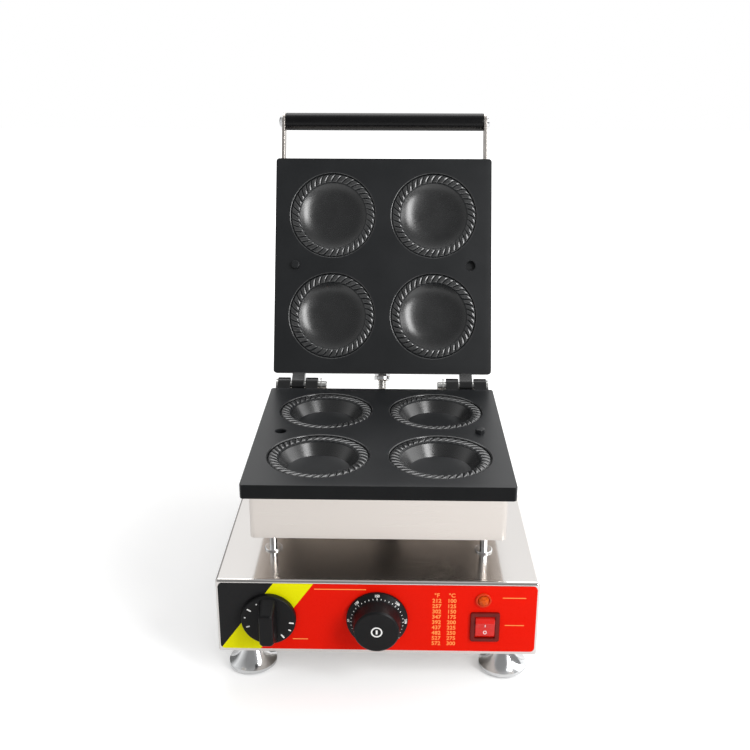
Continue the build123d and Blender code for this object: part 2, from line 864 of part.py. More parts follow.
# Sheet tray round a heating unit, open towards its plate
def unit_tray(floor_holes, end_holes, side_holes):
    with BuildPart() as tray:
        with BuildSketch(Plane.XY.offset(unit_floor)):
            RectangleRounded(2 * unit_half, 2 * unit_half, unit_corner)
        extrude(amount=unit_depth)
        with BuildSketch(Plane.XY.offset(unit_floor + unit_sheet)):
            inner = 2 * (unit_half - unit_sheet)
            RectangleRounded(inner, inner, unit_corner - unit_sheet)
        extrude(amount=unit_depth - 2 * unit_sheet, mode=Mode.SUBTRACT)
        with BuildSketch(Plane.XY.offset(-plate_thickness - unit_sheet)):
            Rectangle(2 * (unit_half - unit_flange), 2 * (unit_half - unit_flange))
        extrude(amount=unit_sheet, mode=Mode.SUBTRACT)
        with BuildSketch(Plane.XY.offset(unit_floor)):
            for x, y, r in floor_holes:
                with Locations((x, y)):
                    Circle(r)
        extrude(amount=unit_sheet, mode=Mode.SUBTRACT)
        if end_holes:
            with BuildSketch(Plane.XZ.offset(-unit_half - 1)):
                for x, z, r in end_holes:
                    with Locations((x, z)):
                        Circle(r)
            extrude(amount=3 * unit_sheet, mode=Mode.SUBTRACT)
        if side_holes:
            with BuildSketch(Plane.YZ.offset(-unit_half - 1)):
                for y, z, r in side_holes:
                    with Locations((y, z)):
                        Circle(r)
            extrude(amount=2 * unit_half + 2, mode=Mode.SUBTRACT)
    return tray


rod_holes = [(x, y, rod_r + seat_gap) for x, y in rod_spots]
tube_hole = (bulb_x, tube_y, tube_r + seat_gap)
gland_hole = (0, -conduit_drop, gland_thread_r + seat_gap)
arm_holes = [(y, -handle_drop, handle_screw_r + seat_gap) for y in arm_screw_ys]

lower_pan = unit_tray(rod_holes + [tube_hole], [], [])
place_lower(lower_pan)
keep(lower_pan, "lower_pan")

lid_cover = unit_tray(rod_holes, [gland_hole], arm_holes)
place_lid(lid_cover)
keep(lid_cover, "lid_cover")


# Tubular element bent to an M, with its cold pins at the hinge side
def element():
    legs = [element_pitch * k for k in (-1.5, -0.5, 0.5, 1.5)]
    half = element_pitch / 2
    with BuildPart() as heater:
        with BuildLine():
            Line((legs[0], element_end_y, element_z), (legs[0], -element_bend_y, element_z))
            ThreePointArc(
                (legs[0], -element_bend_y, element_z),
                (legs[0] + half, -element_bend_y - half, element_z),
                (legs[1], -element_bend_y, element_z),
            )
            Line((legs[1], -element_bend_y, element_z), (legs[1], element_bend_y, element_z))
            ThreePointArc(
                (legs[1], element_bend_y, element_z),
                (0, element_bend_y + half, element_z),
                (legs[2], element_bend_y, element_z),
            )
            Line((legs[2], element_bend_y, element_z), (legs[2], -element_bend_y, element_z))
            ThreePointArc(
                (legs[2], -element_bend_y, element_z),
                (legs[3] - half, -element_bend_y - half, element_z),
                (legs[3], -element_bend_y, element_z),
            )
            Line((legs[3], -element_bend_y, element_z), (legs[3], element_end_y, element_z))
        with BuildSketch(Plane.XZ.offset(-element_end_y)):
            with Locations((legs[0], element_z)):
                Circle(element_r)
        sweep()
        with BuildSketch(Plane.XZ.offset(-element_end_y)):
            with Locations((legs[0], element_z), (legs[3], element_z)):
                Circle(terminal_r)
        extrude(amount=-terminal_length)
    return heater


def clamp_bar():
    with BuildPart() as bar:
        with BuildSketch(Plane.XY.offset(clamp_top)):
            SlotOverall(2 * clamp_half, clamp_width)
            with Locations((-column_x, 0), (0, 0), (column_x, 0)):
                Circle(clamp_bolt_r + seat_gap, mode=Mode.SUBTRACT)
        extrude(amount=-clamp_thick)
    return bar


def clamp_bolts():
    with BuildPart() as bolts:
        for x in (-column_x, 0, column_x):
            with Locations((x, 0, clamp_top - clamp_thick)):
                Cylinder(
                    clamp_bolt_r,
                    clamp_thick + clamp_bolt_grip - bolt_tip_gap,
                    align=(Align.CENTER, Align.CENTER, Align.MIN),
                )
                Cylinder(
                    clamp_head_r, clamp_head, align=(Align.CENTER, Align.CENTER, Align.MAX)
                )
    return bolts


def wool_board(holes):
    with BuildPart() as board:
        with BuildSketch(Plane.XY.offset(unit_floor + unit_sheet)):
            side = 2 * (unit_half - unit_sheet - wool_gap)
            RectangleRounded(side, side, unit_corner - unit_sheet)
            for x, y, r in holes:
                with Locations((x, y)):
                    Circle(r, mode=Mode.SUBTRACT)
        extrude(amount=wool_thick)
    return board


nut_holes = [(x, y, nut_r + wool_nut_gap) for x, y in rod_spots]
screw_holes = [(x, y, rod_r + wool_gap) for x, y in rod_spots]

lower_parts = {
    "lower_heater": element(),
    "lower_clamp": clamp_bar(),
    "lower_clamp_bolts": clamp_bolts(),
    "lower_insulation": wool_board(nut_holes + [(bulb_x, tube_y, tube_r + wool_gap)]),
}
for label, piece in lower_parts.items():
    place_lower(piece)
    keep(piece, label)

lid_parts = {
    "lid_heater": element(),
    "lid_clamp": clamp_bar(),
    "lid_clamp_bolts": clamp_bolts(),
    "lid_insulation": wool_board(screw_holes),
}
for label, piece in lid_parts.items():
    place_lid(piece)
    keep(piece, label)

# Support rods from the cabinet's top to the lower plate's bosses
rod_names = ["front_left", "rear_left", "front_right", "rear_right"]
rod_foot = base_top - cabinet_sheet - nut_height - rod_tail
rod_head = parting - rod_boss_depth + rod_grip - bolt_tip_gap
for name, (x, y) in zip(rod_names, rod_spots):
    with BuildPart() as support_rod:
        with Locations((x, plate_y + y, rod_foot)):
            Cylinder(rod_r, rod_head - rod_foot, align=(Align.CENTER, Align.CENTER, Align.MIN))
        chamfer(support_rod.edges(), rod_edge)
    keep(support_rod, f"support_rod_{name}")

with BuildPart() as rod_washers:
    with BuildSketch(Plane.XY.offset(base_top)):
        with Locations((0, plate_y)):
            with Locations(*rod_spots):
                Circle(washer_r)
                Circle(rod_r + running_gap, mode=Mode.SUBTRACT)
    extrude(amount=washer_thick)
keep(rod_washers, "rod_washers")

with BuildPart() as rod_nuts:
    nut_levels = (
        base_top - cabinet_sheet - nut_height,
        parting + unit_floor + unit_sheet,
    )
    for level in nut_levels:
        with BuildSketch(Plane.XY.offset(level)):
            with Locations((0, plate_y)):
                with Locations(*rod_spots):
                    RegularPolygon(nut_r, 6)
                    Circle(rod_r + running_gap, mode=Mode.SUBTRACT)
        extrude(amount=nut_height)
keep(rod_nuts, "rod_nuts")

# Tube that takes the lower unit's leads and capillary into the cabinet
tube_head = parting + unit_floor + unit_sheet + tube_rise
tube_foot = base_top - tube_tail
with BuildPart() as wire_tube:
    with BuildSketch(Plane.XY.offset(tube_foot)):
        with Locations((bulb_x, plate_y + tube_y)):
            Circle(tube_r)
    extrude(amount=tube_head - tube_foot)
    with BuildSketch(Plane.XY.offset(base_top)):
        with Locations((bulb_x, plate_y + tube_y)):
            Circle(tube_collar_r)
    extrude(amount=tube_collar)
    with BuildSketch(Plane.XY.offset(tube_foot)):
        with Locations((bulb_x, plate_y + tube_y)):
            Circle(tube_r - tube_wall)
    extrude(amount=tube_head - tube_foot, mode=Mode.SUBTRACT)
keep(wire_tube, "wire_tube")

# Bulb under the lower plate's web, and its capillary to the thermostat
bulb_z = parting - plate_web - bulb_r - hole_gap
capillary_z = base_top - capillary_drop
with BuildPart() as thermostat_bulb:
    with BuildSketch(Plane.XZ.offset(-plate_y - bulb_ends[0])):
        with Locations((bulb_x, bulb_z)):
            Circle(bulb_r)
    extrude(amount=bulb_ends[0] - bulb_ends[1])
    with BuildLine() as capillary:
        FilletPolyline(
            (bulb_x, plate_y + bulb_ends[1] - 1.0, bulb_z),
            (bulb_x, plate_y + tube_y, bulb_z),
            (bulb_x, plate_y + tube_y, capillary_z),
            (bulb_x, cabinet_sheet + thermostat_case_depth, capillary_z),
            radius=capillary_bend,
        )
    with BuildSketch(Plane.XZ.offset(-plate_y - bulb_ends[1] + 1.0)):
        with Locations((bulb_x, bulb_z)):
            Circle(capillary_r)
    sweep(path=capillary.line)
keep(thermostat_bulb, "thermostat_bulb")


# Hinge pins: head outside, clip groove inside
def hinge_pin(side):
    with BuildPart() as pin:
        with BuildSketch(Plane.YZ.offset(side * pin_inner_x)):
            with Locations((plate_y + pin_y, parting - pin_drop)):
                Circle(pin_r)
        extrude(amount=side * (outer_knuckle[1] - pin_inner_x))
        chamfer(pin.edges(), pin_edge)
        with BuildSketch(Plane.YZ.offset(side * (outer_knuckle[1] + seat_gap))):
            with Locations((plate_y + pin_y, parting - pin_drop)):
                Circle(pin_head_r)
        extrude(amount=side * pin_head)
        with BuildSketch(Plane.YZ.offset(side * (outer_knuckle[1] - 1.0))):
            with Locations((plate_y + pin_y, parting - pin_drop)):
                Circle(pin_r)
        extrude(amount=side * (1.0 + seat_gap))
        with BuildSketch(Plane.YZ.offset(side * clip_x)):
            with Locations((plate_y + pin_y, parting - pin_drop)):
                Circle(pin_r + 1)
                Circle(pin_r - clip_groove, mode=Mode.SUBTRACT)
        extrude(amount=side * clip_thick, mode=Mode.SUBTRACT)
    return pin


for side, name in ((-1, "left"), (1, "right")):
    keep(hinge_pin(side), f"hinge_pin_{name}")

with BuildPart() as hinge_clips:
    for side in (-1, 1):
        with BuildSketch(Plane.YZ.offset(side * (clip_x + seat_gap))):
            with Locations((plate_y + pin_y, parting - pin_drop)):
                Circle(clip_r)
                Circle(pin_r - clip_groove + seat_gap, mode=Mode.SUBTRACT)
                with Locations((0, -clip_r)):
                    Rectangle(clip_mouth, 2 * clip_r, mode=Mode.SUBTRACT)
        extrude(amount=side * (clip_thick - 2 * seat_gap))
keep(hinge_clips, "hinge_clips")

# Screws that hold the cover to the lid plate's bosses
with BuildPart() as cover_screws:
    for x, y in rod_spots:
        with Locations((x, y, unit_floor)):
            Cylinder(
                rod_r,
                -unit_floor - rod_boss_depth + rod_grip - bolt_tip_gap,
                align=(Align.CENTER, Align.CENTER, Align.MIN),
            )
            Cylinder(
                cover_head_r, cover_head, align=(Align.CENTER, Align.CENTER, Align.MAX)
            )
place_lid(cover_screws)
keep(cover_screws, "cover_screws")


# Flat handle arm on the cover's side wall, round at both ends
def handle_arm(side):
    length = grip_reach - arm_root + arm_width
    middle = -(grip_reach + arm_root) / 2
    with BuildPart() as arm:
        with BuildSketch(Plane.YZ.offset(side * unit_half)):
            with Locations((middle, -handle_drop)):
                SlotOverall(length, arm_width)
            with Locations((-grip_reach, -handle_drop)):
                Circle(handle_screw_r + seat_gap, mode=Mode.SUBTRACT)
            for y in arm_screw_ys:
                with Locations((y, -handle_drop)):
                    Circle(handle_screw_r + seat_gap, mode=Mode.SUBTRACT)
        extrude(amount=side * arm_thick)
    return arm


for side, name in ((1, "left"), (-1, "right")):
    arm = handle_arm(side)
    place_lid(arm)
    keep(arm, f"handle_arm_{name}")

with BuildPart() as handle_grip:
    with BuildSketch(Plane.YZ.offset(-unit_half)):
        with Locations((-grip_reach, -handle_drop)):
            Circle(grip_r)
    extrude(amount=2 * unit_half)
    chamfer(handle_grip.edges(), grip_edge)
    with BuildSketch(Plane.YZ.offset(-unit_half)):
        with Locations((-grip_reach, -handle_drop)):
            Circle(handle_rod_r + seat_gap)
    extrude(amount=2 * unit_half, mode=Mode.SUBTRACT)
place_lid(handle_grip)
keep(handle_grip, "handle_grip")

with BuildPart() as handle_rod:
    with BuildSketch(Plane.YZ.offset(-unit_half)):
        with Locations((-grip_reach, -handle_drop)):
            Circle(handle_rod_r)
    extrude(amount=2 * unit_half)
    for end in (-1, 1):
        with BuildSketch(Plane.YZ.offset(end * unit_half)):
            with Locations((-grip_reach, -handle_drop)):
                Circle(handle_screw_r + running_gap)
        extrude(amount=-end * handle_screw_grip, mode=Mode.SUBTRACT)
place_lid(handle_rod)
keep(handle_rod, "handle_rod")

arm_face = unit_half + arm_thick
with BuildPart() as handle_screws:
    for end in (-1, 1):
        with BuildSketch(Plane.YZ.offset(end * arm_face)):
            with Locations((-grip_reach, -handle_drop)):
                Circle(handle_head_r)
        extrude(amount=end * handle_head)
        with BuildSketch(Plane.YZ.offset(end * arm_face)):
            with Locations((-grip_reach, -handle_drop)):
                Circle(handle_screw_r)
        extrude(amount=-end * (arm_thick + handle_screw_grip - bolt_tip_gap))
place_lid(handle_screws)
keep(handle_screws, "handle_screws")

with BuildPart() as arm_screws:
    for end in (-1, 1):
        for y in arm_screw_ys:
            with BuildSketch(Plane.YZ.offset(end * arm_face)):
                with Locations((y, -handle_drop)):
                    Circle(arm_head_r)
            extrude(amount=end * arm_head)
            with BuildSketch(Plane.YZ.offset(end * arm_face)):
                with Locations((y, -handle_drop)):
                    Circle(handle_screw_r)
            extrude(amount=-end * (arm_thick + unit_sheet + arm_screw_tail))
place_lid(arm_screws)
keep(arm_screws, "arm_screws")

# Conduit gland in the cover's hinge-side wall
with BuildPart() as lid_gland:
    with BuildSketch(Plane.XZ.offset(-unit_half)):
        with Locations((0, -conduit_drop)):
            RegularPolygon(gland_r, 6)
    extrude(amount=-gland_reach)
    with BuildSketch(Plane.XZ.offset(-unit_half)):
        with Locations((0, -conduit_drop)):
            Circle(gland_thread_r)
    extrude(amount=unit_sheet)
    with BuildSketch(Plane.XZ.offset(-unit_half + unit_sheet)):
        with Locations((0, -conduit_drop)):
            Circle(gland_flange_r)
    extrude(amount=gland_nut)
    with BuildSketch(Plane.XZ.offset(-unit_half - gland_reach)):
        with Locations((0, -conduit_drop)):
            Circle(conduit_r + gland_clearance)
    extrude(amount=gland_reach + unit_sheet + gland_nut, mode=Mode.SUBTRACT)
place_lid(lid_gland)
keep(lid_gland, "lid_gland")

# Bushing in the cabinet's top: the conduit slides through it
with BuildPart() as base_bushing:
    with BuildSketch(Plane.XY.offset(base_top)):
        with Locations((0, conduit_y)):
            Circle(gland_r)
    extrude(amount=bushing_rise)
    chamfer(base_bushing.edges().sort_by(Axis.Z)[-1], bushing_edge)
    with BuildSketch(Plane.XY.offset(base_top)):
        with Locations((0, conduit_y)):
            Circle(gland_thread_r)
    extrude(amount=-bushing_tail)
    with BuildSketch(Plane.XY.offset(base_top + bushing_rise)):
        with Locations((0, conduit_y)):
            Circle(conduit_r + gland_clearance)
    extrude(amount=-bushing_rise - bushing_tail, mode=Mode.SUBTRACT)
keep(base_bushing, "base_bushing")

# Conduit: straight runs joined by arcs as large as the runs allow
conduit_radii = []
for before, corner, after in zip(conduit_points, conduit_points[1:], conduit_points[2:]):
    run_in = Vector(*corner) - Vector(*before)
    run_out = Vector(*after) - Vector(*corner)
    half_turn = radians(run_in.get_angle(run_out) / 2)
    conduit_radii.append(conduit_bend * min(run_in.length, run_out.length) / tan(half_turn))
print("conduit radii", [round(r, 1) for r in conduit_radii])
with BuildPart() as heater_conduit:
    with BuildLine() as route:
        FilletPolyline(*[(0, y, z) for y, z in conduit_points], radius=conduit_radii)
    with BuildSketch(Plane(route.line @ 0, z_dir=route.line % 0)):
        Circle(conduit_r)
    sweep(path=route.line)
print("conduit length", round(route.wire().length, 1), "volume", round(heater_conduit.part.volume))
keep(heater_conduit, "heater_conduit")

# The finished model stands with the middle of its box over the origin
low_y = min(piece.part.bounding_box().min.Y for piece in finished)
high_y = max(piece.part.bounding_box().max.Y for piece in finished)
shift_y = -(low_y + high_y) / 2
print("shift_y", round(shift_y, 4))

os.makedirs("parts", exist_ok=True)
for piece in finished:
    label = piece.part.label
    piece.part = piece.part.moved(Location((0, shift_y, 0)))
    piece.part.label = label
    export_step(piece.part, f"parts/{label}.step")
print(len(finished), "nodes")
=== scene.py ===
"""Looks of a countertop tartlet shell maker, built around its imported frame.

Everything is in metres in the frame's own axes: X to the right, Y back, Z up.
Sizes that belong to one piece are written in millimetres and turned into metres
where its mesh is made.
"""

import json
import logging
import math
from collections.abc import Callable, Iterable, Sequence
from dataclasses import dataclass, field
from enum import Enum

import bmesh
import bpy
from mathutils import Matrix, Vector


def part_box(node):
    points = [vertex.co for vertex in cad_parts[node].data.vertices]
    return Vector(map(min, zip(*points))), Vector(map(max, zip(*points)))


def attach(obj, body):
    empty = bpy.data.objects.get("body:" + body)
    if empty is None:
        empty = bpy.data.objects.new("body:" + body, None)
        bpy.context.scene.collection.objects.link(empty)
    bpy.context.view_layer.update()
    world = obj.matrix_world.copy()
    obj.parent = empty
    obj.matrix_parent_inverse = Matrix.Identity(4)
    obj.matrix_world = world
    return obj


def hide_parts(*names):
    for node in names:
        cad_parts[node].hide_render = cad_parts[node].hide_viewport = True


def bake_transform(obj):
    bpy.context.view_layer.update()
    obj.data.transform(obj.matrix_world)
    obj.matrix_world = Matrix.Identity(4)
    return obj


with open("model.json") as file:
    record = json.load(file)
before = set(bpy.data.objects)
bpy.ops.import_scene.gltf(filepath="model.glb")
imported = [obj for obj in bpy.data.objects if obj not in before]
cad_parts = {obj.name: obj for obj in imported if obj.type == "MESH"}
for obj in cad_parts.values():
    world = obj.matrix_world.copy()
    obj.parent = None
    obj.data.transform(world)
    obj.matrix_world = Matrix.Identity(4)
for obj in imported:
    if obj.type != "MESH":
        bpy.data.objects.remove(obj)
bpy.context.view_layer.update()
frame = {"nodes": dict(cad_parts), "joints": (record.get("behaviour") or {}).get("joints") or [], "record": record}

log = logging.getLogger("tartlet_maker")

MM = 0.001

# sizes that several pieces share, in millimetres and degrees
PLATE_THICK = 11.9
PLATE_GAP = 0.5
MOULD_RADIUS = 32.5
RING_SEAT = 2.4
OPENING = 112.5
PIN_Y = 119.0
PIN_RISE = 1.5
COVER_DEPTH = 36.8
ROD_REACH = (85.3, 81.0)
CABINET_HEIGHT = 63.6
PANEL = 0.8
KNOB_BACK = 1.3
KNOB_DROP = 31.9
INK = 0.03

Colour = tuple[float, float, float]
Point2 = tuple[float, float]
Point3 = tuple[float, float, float]
Outline = list[Point2]
Mesh = bmesh.types.BMesh
Row = list[bmesh.types.BMVert]
Socket = bpy.types.NodeSocket


class Grain(Enum):
    """How the fine relief of a finish runs."""

    EVEN = "even"
    BRUSHED = "brushed"
    TURNED = "turned"


class Wiring:
    """A node tree, with short calls for the nodes that the finishes and the room share."""

    def __init__(self, owner: bpy.types.Material | bpy.types.World) -> None:
        """Empties the owner's node tree.

        Args:
            owner: The material or world that owns the tree.
        """
        owner.use_nodes = True
        self.tree = owner.node_tree
        self.tree.nodes.clear()

    def node(self, kind: str, operation: str = "") -> bpy.types.Node:
        """Adds a node of that kind, set to its operation where it has one.

        Args:
            kind: The node's kind.
            operation: What the node does, where it has a choice.

        Returns:
            The node.
        """
        made = self.tree.nodes.new(f"ShaderNode{kind}")
        if operation:
            made.operation = operation
        return made

    def feed(self, source: Socket | float, target: Socket) -> None:
        """Links a socket to another, or sets the other to a number.

        Args:
            source: The socket or the number.
            target: The socket that takes it.
        """
        if isinstance(source, bpy.types.NodeSocket):
            self.tree.links.new(source, target)
        else:
            target.default_value = source

    def maths(self, operation: str, first: Socket | float, second: Socket | float = 0.0) -> Socket:
        """Works out a value from one or two others.

        Args:
            operation: What is done with them.
            first: The first value.
            second: The second value, where the operation has one.

        Returns:
            The result.
        """
        node = self.node("Math", operation)
        self.feed(first, node.inputs[0])
        self.feed(second, node.inputs[1])
        return node.outputs[0]

    def remap(self, source: Socket, before: Point2, after: Point2) -> Socket:
        """Moves a value from one range to another and holds it at both ends.

        Args:
            source: The value.
            before: The range that it comes from.
            after: The range that it goes to.

        Returns:
            The new value.
        """
        node = self.node("MapRange")
        for name, value in zip(("From Min", "From Max", "To Min", "To Max"), (*before, *after)):
            node.inputs[name].default_value = value
        self.feed(source, node.inputs["Value"])
        return node.outputs["Result"]

    def mix(self, share: Socket | float, first: Socket | float, second: Socket | float) -> Socket:
        """Mixes two values.

        Args:
            share: The second value's share.
            first: One value.
            second: The other value.

        Returns:
            The mixed value.
        """
        node = self.node("Mix")
        for place, value in ((0, share), (2, first), (3, second)):
            self.feed(value, node.inputs[place])
        return node.outputs[0]


class Bench(Wiring):
    """Node tree of one finish."""

    MIDDLE = (0.3, 0.7)  # the part of a noise that its values mostly lie in

    def __init__(self, name: str) -> None:
        """Starts a material of that name with one principled shader.

        Args:
            name: The material's name.
        """
        self.material = bpy.data.materials.new(name)
        super().__init__(self.material)
        self.shader = self.node("BsdfPrincipled")
        self.feed(self.shader.outputs["BSDF"], self.node("OutputMaterial").inputs["Surface"])
        self.place = self.node("TexCoord")

    def noise(
        self, scale: float, stretch: Sequence[float] = (1, 1, 1), detail: float = 3.0
    ) -> Socket:
        """Noise in the piece's own coordinates.

        Args:
            scale: Features per metre.
            stretch: Factors on the three coordinates.
            detail: Octaves of the noise.

        Returns:
            The socket with the noise, from 0 to 1.
        """
        mapping = self.node("Mapping")
        mapping.inputs["Scale"].default_value = stretch
        self.feed(self.place.outputs["Object"], mapping.inputs["Vector"])
        texture = self.node("TexNoise")
        texture.inputs["Scale"].default_value = scale
        texture.inputs["Detail"].default_value = detail
        self.feed(mapping.outputs["Vector"], texture.inputs["Vector"])
        return texture.outputs["Fac"]

    def tint(self, source: Socket, dark: Colour, light: Colour) -> Socket:
        """Runs a noise between two colours.

        Args:
            source: The noise.
            dark: Colour where the noise is low.
            light: Colour where it is high.

        Returns:
            The colour.
        """
        ramp = self.node("ValToRGB")
        for stop, position, colour in zip(ramp.color_ramp.elements, self.MIDDLE, (dark, light)):
            stop.position, stop.color = position, (*colour, 1)
        self.feed(source, ramp.inputs["Fac"])
        return ramp.outputs["Color"]

    def streaks(self, scale: float) -> Socket:
        """Brush lines along X, and along Y on walls that face X.

        Args:
            scale: Lines per metre.

        Returns:
            The socket with the lines, from 0 to 1.
        """
        along, wall = 9.0, 0.8
        along_x = self.noise(1.0, (along, scale, scale), 2.0)
        along_y = self.noise(1.0, (scale, along, scale), 2.0)
        parts = self.node("SeparateXYZ")
        self.feed(self.place.outputs["Normal"], parts.inputs["Vector"])
        side = self.maths("GREATER_THAN", self.maths("ABSOLUTE", parts.outputs["X"]), wall)
        return self.mix(side, along_x, along_y)

    def relief(self, height: Socket, strength: float, depth: float) -> None:
        """Bumps the shader's normal.

        Args:
            height: The relief, from 0 to 1.
            strength: How much of it is used.
            depth: Its depth in metres.
        """
        bump = self.node("Bump")
        bump.inputs["Strength"].default_value = strength
        bump.inputs["Distance"].default_value = depth
        self.feed(height, bump.inputs["Height"])
        self.feed(bump.outputs["Normal"], self.shader.inputs["Normal"])


@dataclass(frozen=True)
class Finish:
    """One finish: colours that a patchy noise runs between, gloss and fine relief."""

    name: str
    dark: Colour
    light: Colour
    metallic: float = 0.0
    rough: tuple[float, float] = (0.4, 0.5)
    grain: Grain = Grain.EVEN
    grain_scale: float = 1200.0
    grain_depth: float = 0.03
    grain_strength: float = 0.3
    patch_scale: float = 30.0
    specular: float = 0.5
    coat: float = 0.0
    glow: float = 0.0

    def material(self) -> bpy.types.Material:
        """Makes the finish's material, or returns the one already made.

        Returns:
            The material.
        """
        made = bpy.data.materials.get(self.name)
        if made:
            return made
        bench = Bench(self.name)
        patches = bench.noise(self.patch_scale, detail=4.0)
        if self.grain is Grain.BRUSHED:
            grain = bench.streaks(self.grain_scale)
        else:
            stretch = (1, 1, 0.05) if self.grain is Grain.TURNED else (1, 1, 1)
            grain = bench.noise(self.grain_scale, stretch)
        look = bench.mix(0.5, patches, grain)
        inputs = bench.shader.inputs
        bench.feed(bench.tint(look, self.dark, self.light), inputs["Base Color"])
        bench.feed(bench.remap(look, bench.MIDDLE, self.rough), inputs["Roughness"])
        bench.relief(grain, self.grain_strength, self.grain_depth * MM)
        inputs["Metallic"].default_value = self.metallic
        inputs["Specular IOR Level"].default_value = self.specular
        inputs["Coat Weight"].default_value = self.coat
        inputs["Coat Roughness"].default_value = 0.08
        if self.glow:
            inputs["Emission Color"].default_value = (*self.light, 1)
            inputs["Emission Strength"].default_value = self.glow
        return bench.material


STAINLESS = Finish(
    "brushed_stainless", (0.725, 0.675, 0.632), (0.760, 0.712, 0.668), 1.0, (0.24, 0.28),
    Grain.BRUSHED, 2300.0, 0.015, 0.06, 9.0,
)
CABINET_STEEL = Finish(
    "satin_cabinet_steel", (0.755, 0.728, 0.705), (0.790, 0.763, 0.740), 1.0, (0.13, 0.17),
    Grain.BRUSHED, 2300.0, 0.010, 0.08, 9.0,
)
COATING = Finish(
    "cast_black_coating", (0.0075, 0.0085, 0.0095), (0.0125, 0.0135, 0.0150), 0.0, (0.30, 0.40),
    Grain.EVEN, 1900.0, 0.03, 0.35, 26.0, 0.4,
)
COATED_SIDE = Finish(
    "coated_casting_side", (0.004, 0.0045, 0.005), (0.008, 0.0085, 0.009), 0.0, (0.30, 0.38),
    Grain.EVEN, 1500.0, 0.05, 0.4, 60.0, 0.12,
)
MOULD_FACE = Finish(
    "smooth_mould_face", (0.006, 0.0065, 0.007), (0.011, 0.0115, 0.012), 0.0, (0.23, 0.30),
    Grain.EVEN, 1700.0, 0.015, 0.25, 90.0, 0.88,
)
HINGE_BLACK = Finish(
    "hinge_lug_coating", (0.004, 0.0042, 0.0045), (0.009, 0.0092, 0.0095), 0.0, (0.20, 0.28),
    Grain.EVEN, 1500.0, 0.02, 0.2, 90.0, 0.55,
)
# lighter than the coating: a painted highlight on the rope crests and mould lips, on a glossier finish
PAINTED_CREST_SHEEN = Finish(
    "coating_painted_crest_sheen", (0.016, 0.0165, 0.017), (0.045, 0.046, 0.047), 0.0, (0.12, 0.20),
    Grain.EVEN, 1500.0, 0.02, 0.25, 160.0, 1.0,
)
CHROME = Finish(
    "bright_chrome", (0.84, 0.85, 0.86), (0.90, 0.91, 0.92), 1.0, (0.10, 0.17),
    Grain.TURNED, 700.0, 0.01, 0.05, 60.0,
)
PLATED = Finish(
    "zinc_plated_steel", (0.56, 0.56, 0.55), (0.72, 0.72, 0.70), 1.0, (0.22, 0.36),
    Grain.EVEN, 1500.0, 0.02, 0.2, 90.0,
)
KNOB_BLACK = Finish(
    "knob_phenolic", (0.0045, 0.0045, 0.005), (0.009, 0.009, 0.0095), 0.0, (0.32, 0.42),
    Grain.EVEN, 2200.0, 0.02, 0.25, 60.0, 0.16,
)
GRIP_BLACK = Finish(
    "grip_phenolic", (0.002, 0.002, 0.0025), (0.0045, 0.0045, 0.005), 0.0, (0.24, 0.32),
    Grain.EVEN, 1600.0, 0.02, 0.15, 40.0, 0.25,
)
RUBBER = Finish(
    "black_rubber", (0.014, 0.014, 0.014), (0.028, 0.028, 0.027), 0.0, (0.7, 0.85),
    Grain.EVEN, 1800.0, 0.05, 0.4, 50.0, 0.3,
)
CASE_CREAM = Finish(
    "case_plastic", (0.62, 0.61, 0.56), (0.70, 0.69, 0.64), 0.0, (0.45, 0.55)
)
SWITCH_BLACK = Finish(
    "switch_housing", (0.110, 0.006, 0.004), (0.165, 0.009, 0.006), 0.0, (0.18, 0.26),
    Grain.EVEN, 1500.0, 0.01, 0.15, 80.0, 0.22,
)
SWITCH_RED = Finish(
    "switch_button_red", (0.52, 0.009, 0.006), (0.66, 0.014, 0.009), 0.0, (0.10, 0.18),
    Grain.EVEN, 900.0, 0.01, 0.12, 120.0, 0.35, 0.2, 0.05,
)
LAMP_RIM = Finish(
    "lamp_rim_orange", (0.56, 0.030, 0.004), (0.66, 0.045, 0.006), 0.0, (0.2, 0.3),
    Grain.EVEN, 1500.0, 0.01, 0.1, 120.0, 0.2,
)
LAMP_AMBER = Finish(
    "lamp_lens_amber", (0.30, 0.018, 0.001), (0.80, 0.12, 0.008), 0.0, (0.06, 0.14),
    Grain.EVEN, 700.0, 0.02, 0.2, 420.0, 0.15, 0.0, 0.02,
)
FASCIA_RED = Finish(
    "fascia_print_red", (0.70, 0.007, 0.001), (0.76, 0.010, 0.002), 0.0, (0.26, 0.34),
    Grain.EVEN, 1100.0, 0.02, 0.18, 18.0, 0.05,
)
FASCIA_YELLOW = Finish(
    "fascia_print_yellow", (0.74, 0.71, 0.001), (0.80, 0.77, 0.003), 0.0, (0.26, 0.34),
    Grain.EVEN, 1100.0, 0.02, 0.18, 18.0, 0.05,
)
FASCIA_BLACK = Finish(
    "fascia_print_black", (0.016, 0.016, 0.0165), (0.020, 0.020, 0.0205), 0.0, (0.28, 0.36),
    Grain.EVEN, 1100.0, 0.02, 0.18, 18.0, 0.05,
)
INK_ORANGE = Finish(
    "ink_orange", (0.92, 0.27, 0.05), (1.0, 0.36, 0.09), 0.0, (0.35, 0.45),
    Grain.EVEN, 2600.0, 0.005, 0.1, 200.0, 0.3,
)
INK_WHITE = Finish(
    "ink_white", (0.78, 0.78, 0.76), (0.86, 0.86, 0.84), 0.0, (0.35, 0.45),
    Grain.EVEN, 2600.0, 0.005, 0.1, 200.0, 0.3,
)
ELEMENT = Finish(
    "heater_sheath", (0.16, 0.15, 0.145), (0.30, 0.28, 0.26), 1.0, (0.4, 0.55)
)
WOOL = Finish(
    "mineral_wool", (0.62, 0.58, 0.48), (0.82, 0.78, 0.68), 0.0, (0.85, 0.95),
    Grain.EVEN, 500.0, 0.4, 0.8, 60.0, 0.1,
)
CERAMIC = Finish(
    "glazed_ceramic", (0.78, 0.76, 0.70), (0.86, 0.84, 0.79), 0.0, (0.2, 0.3)
)
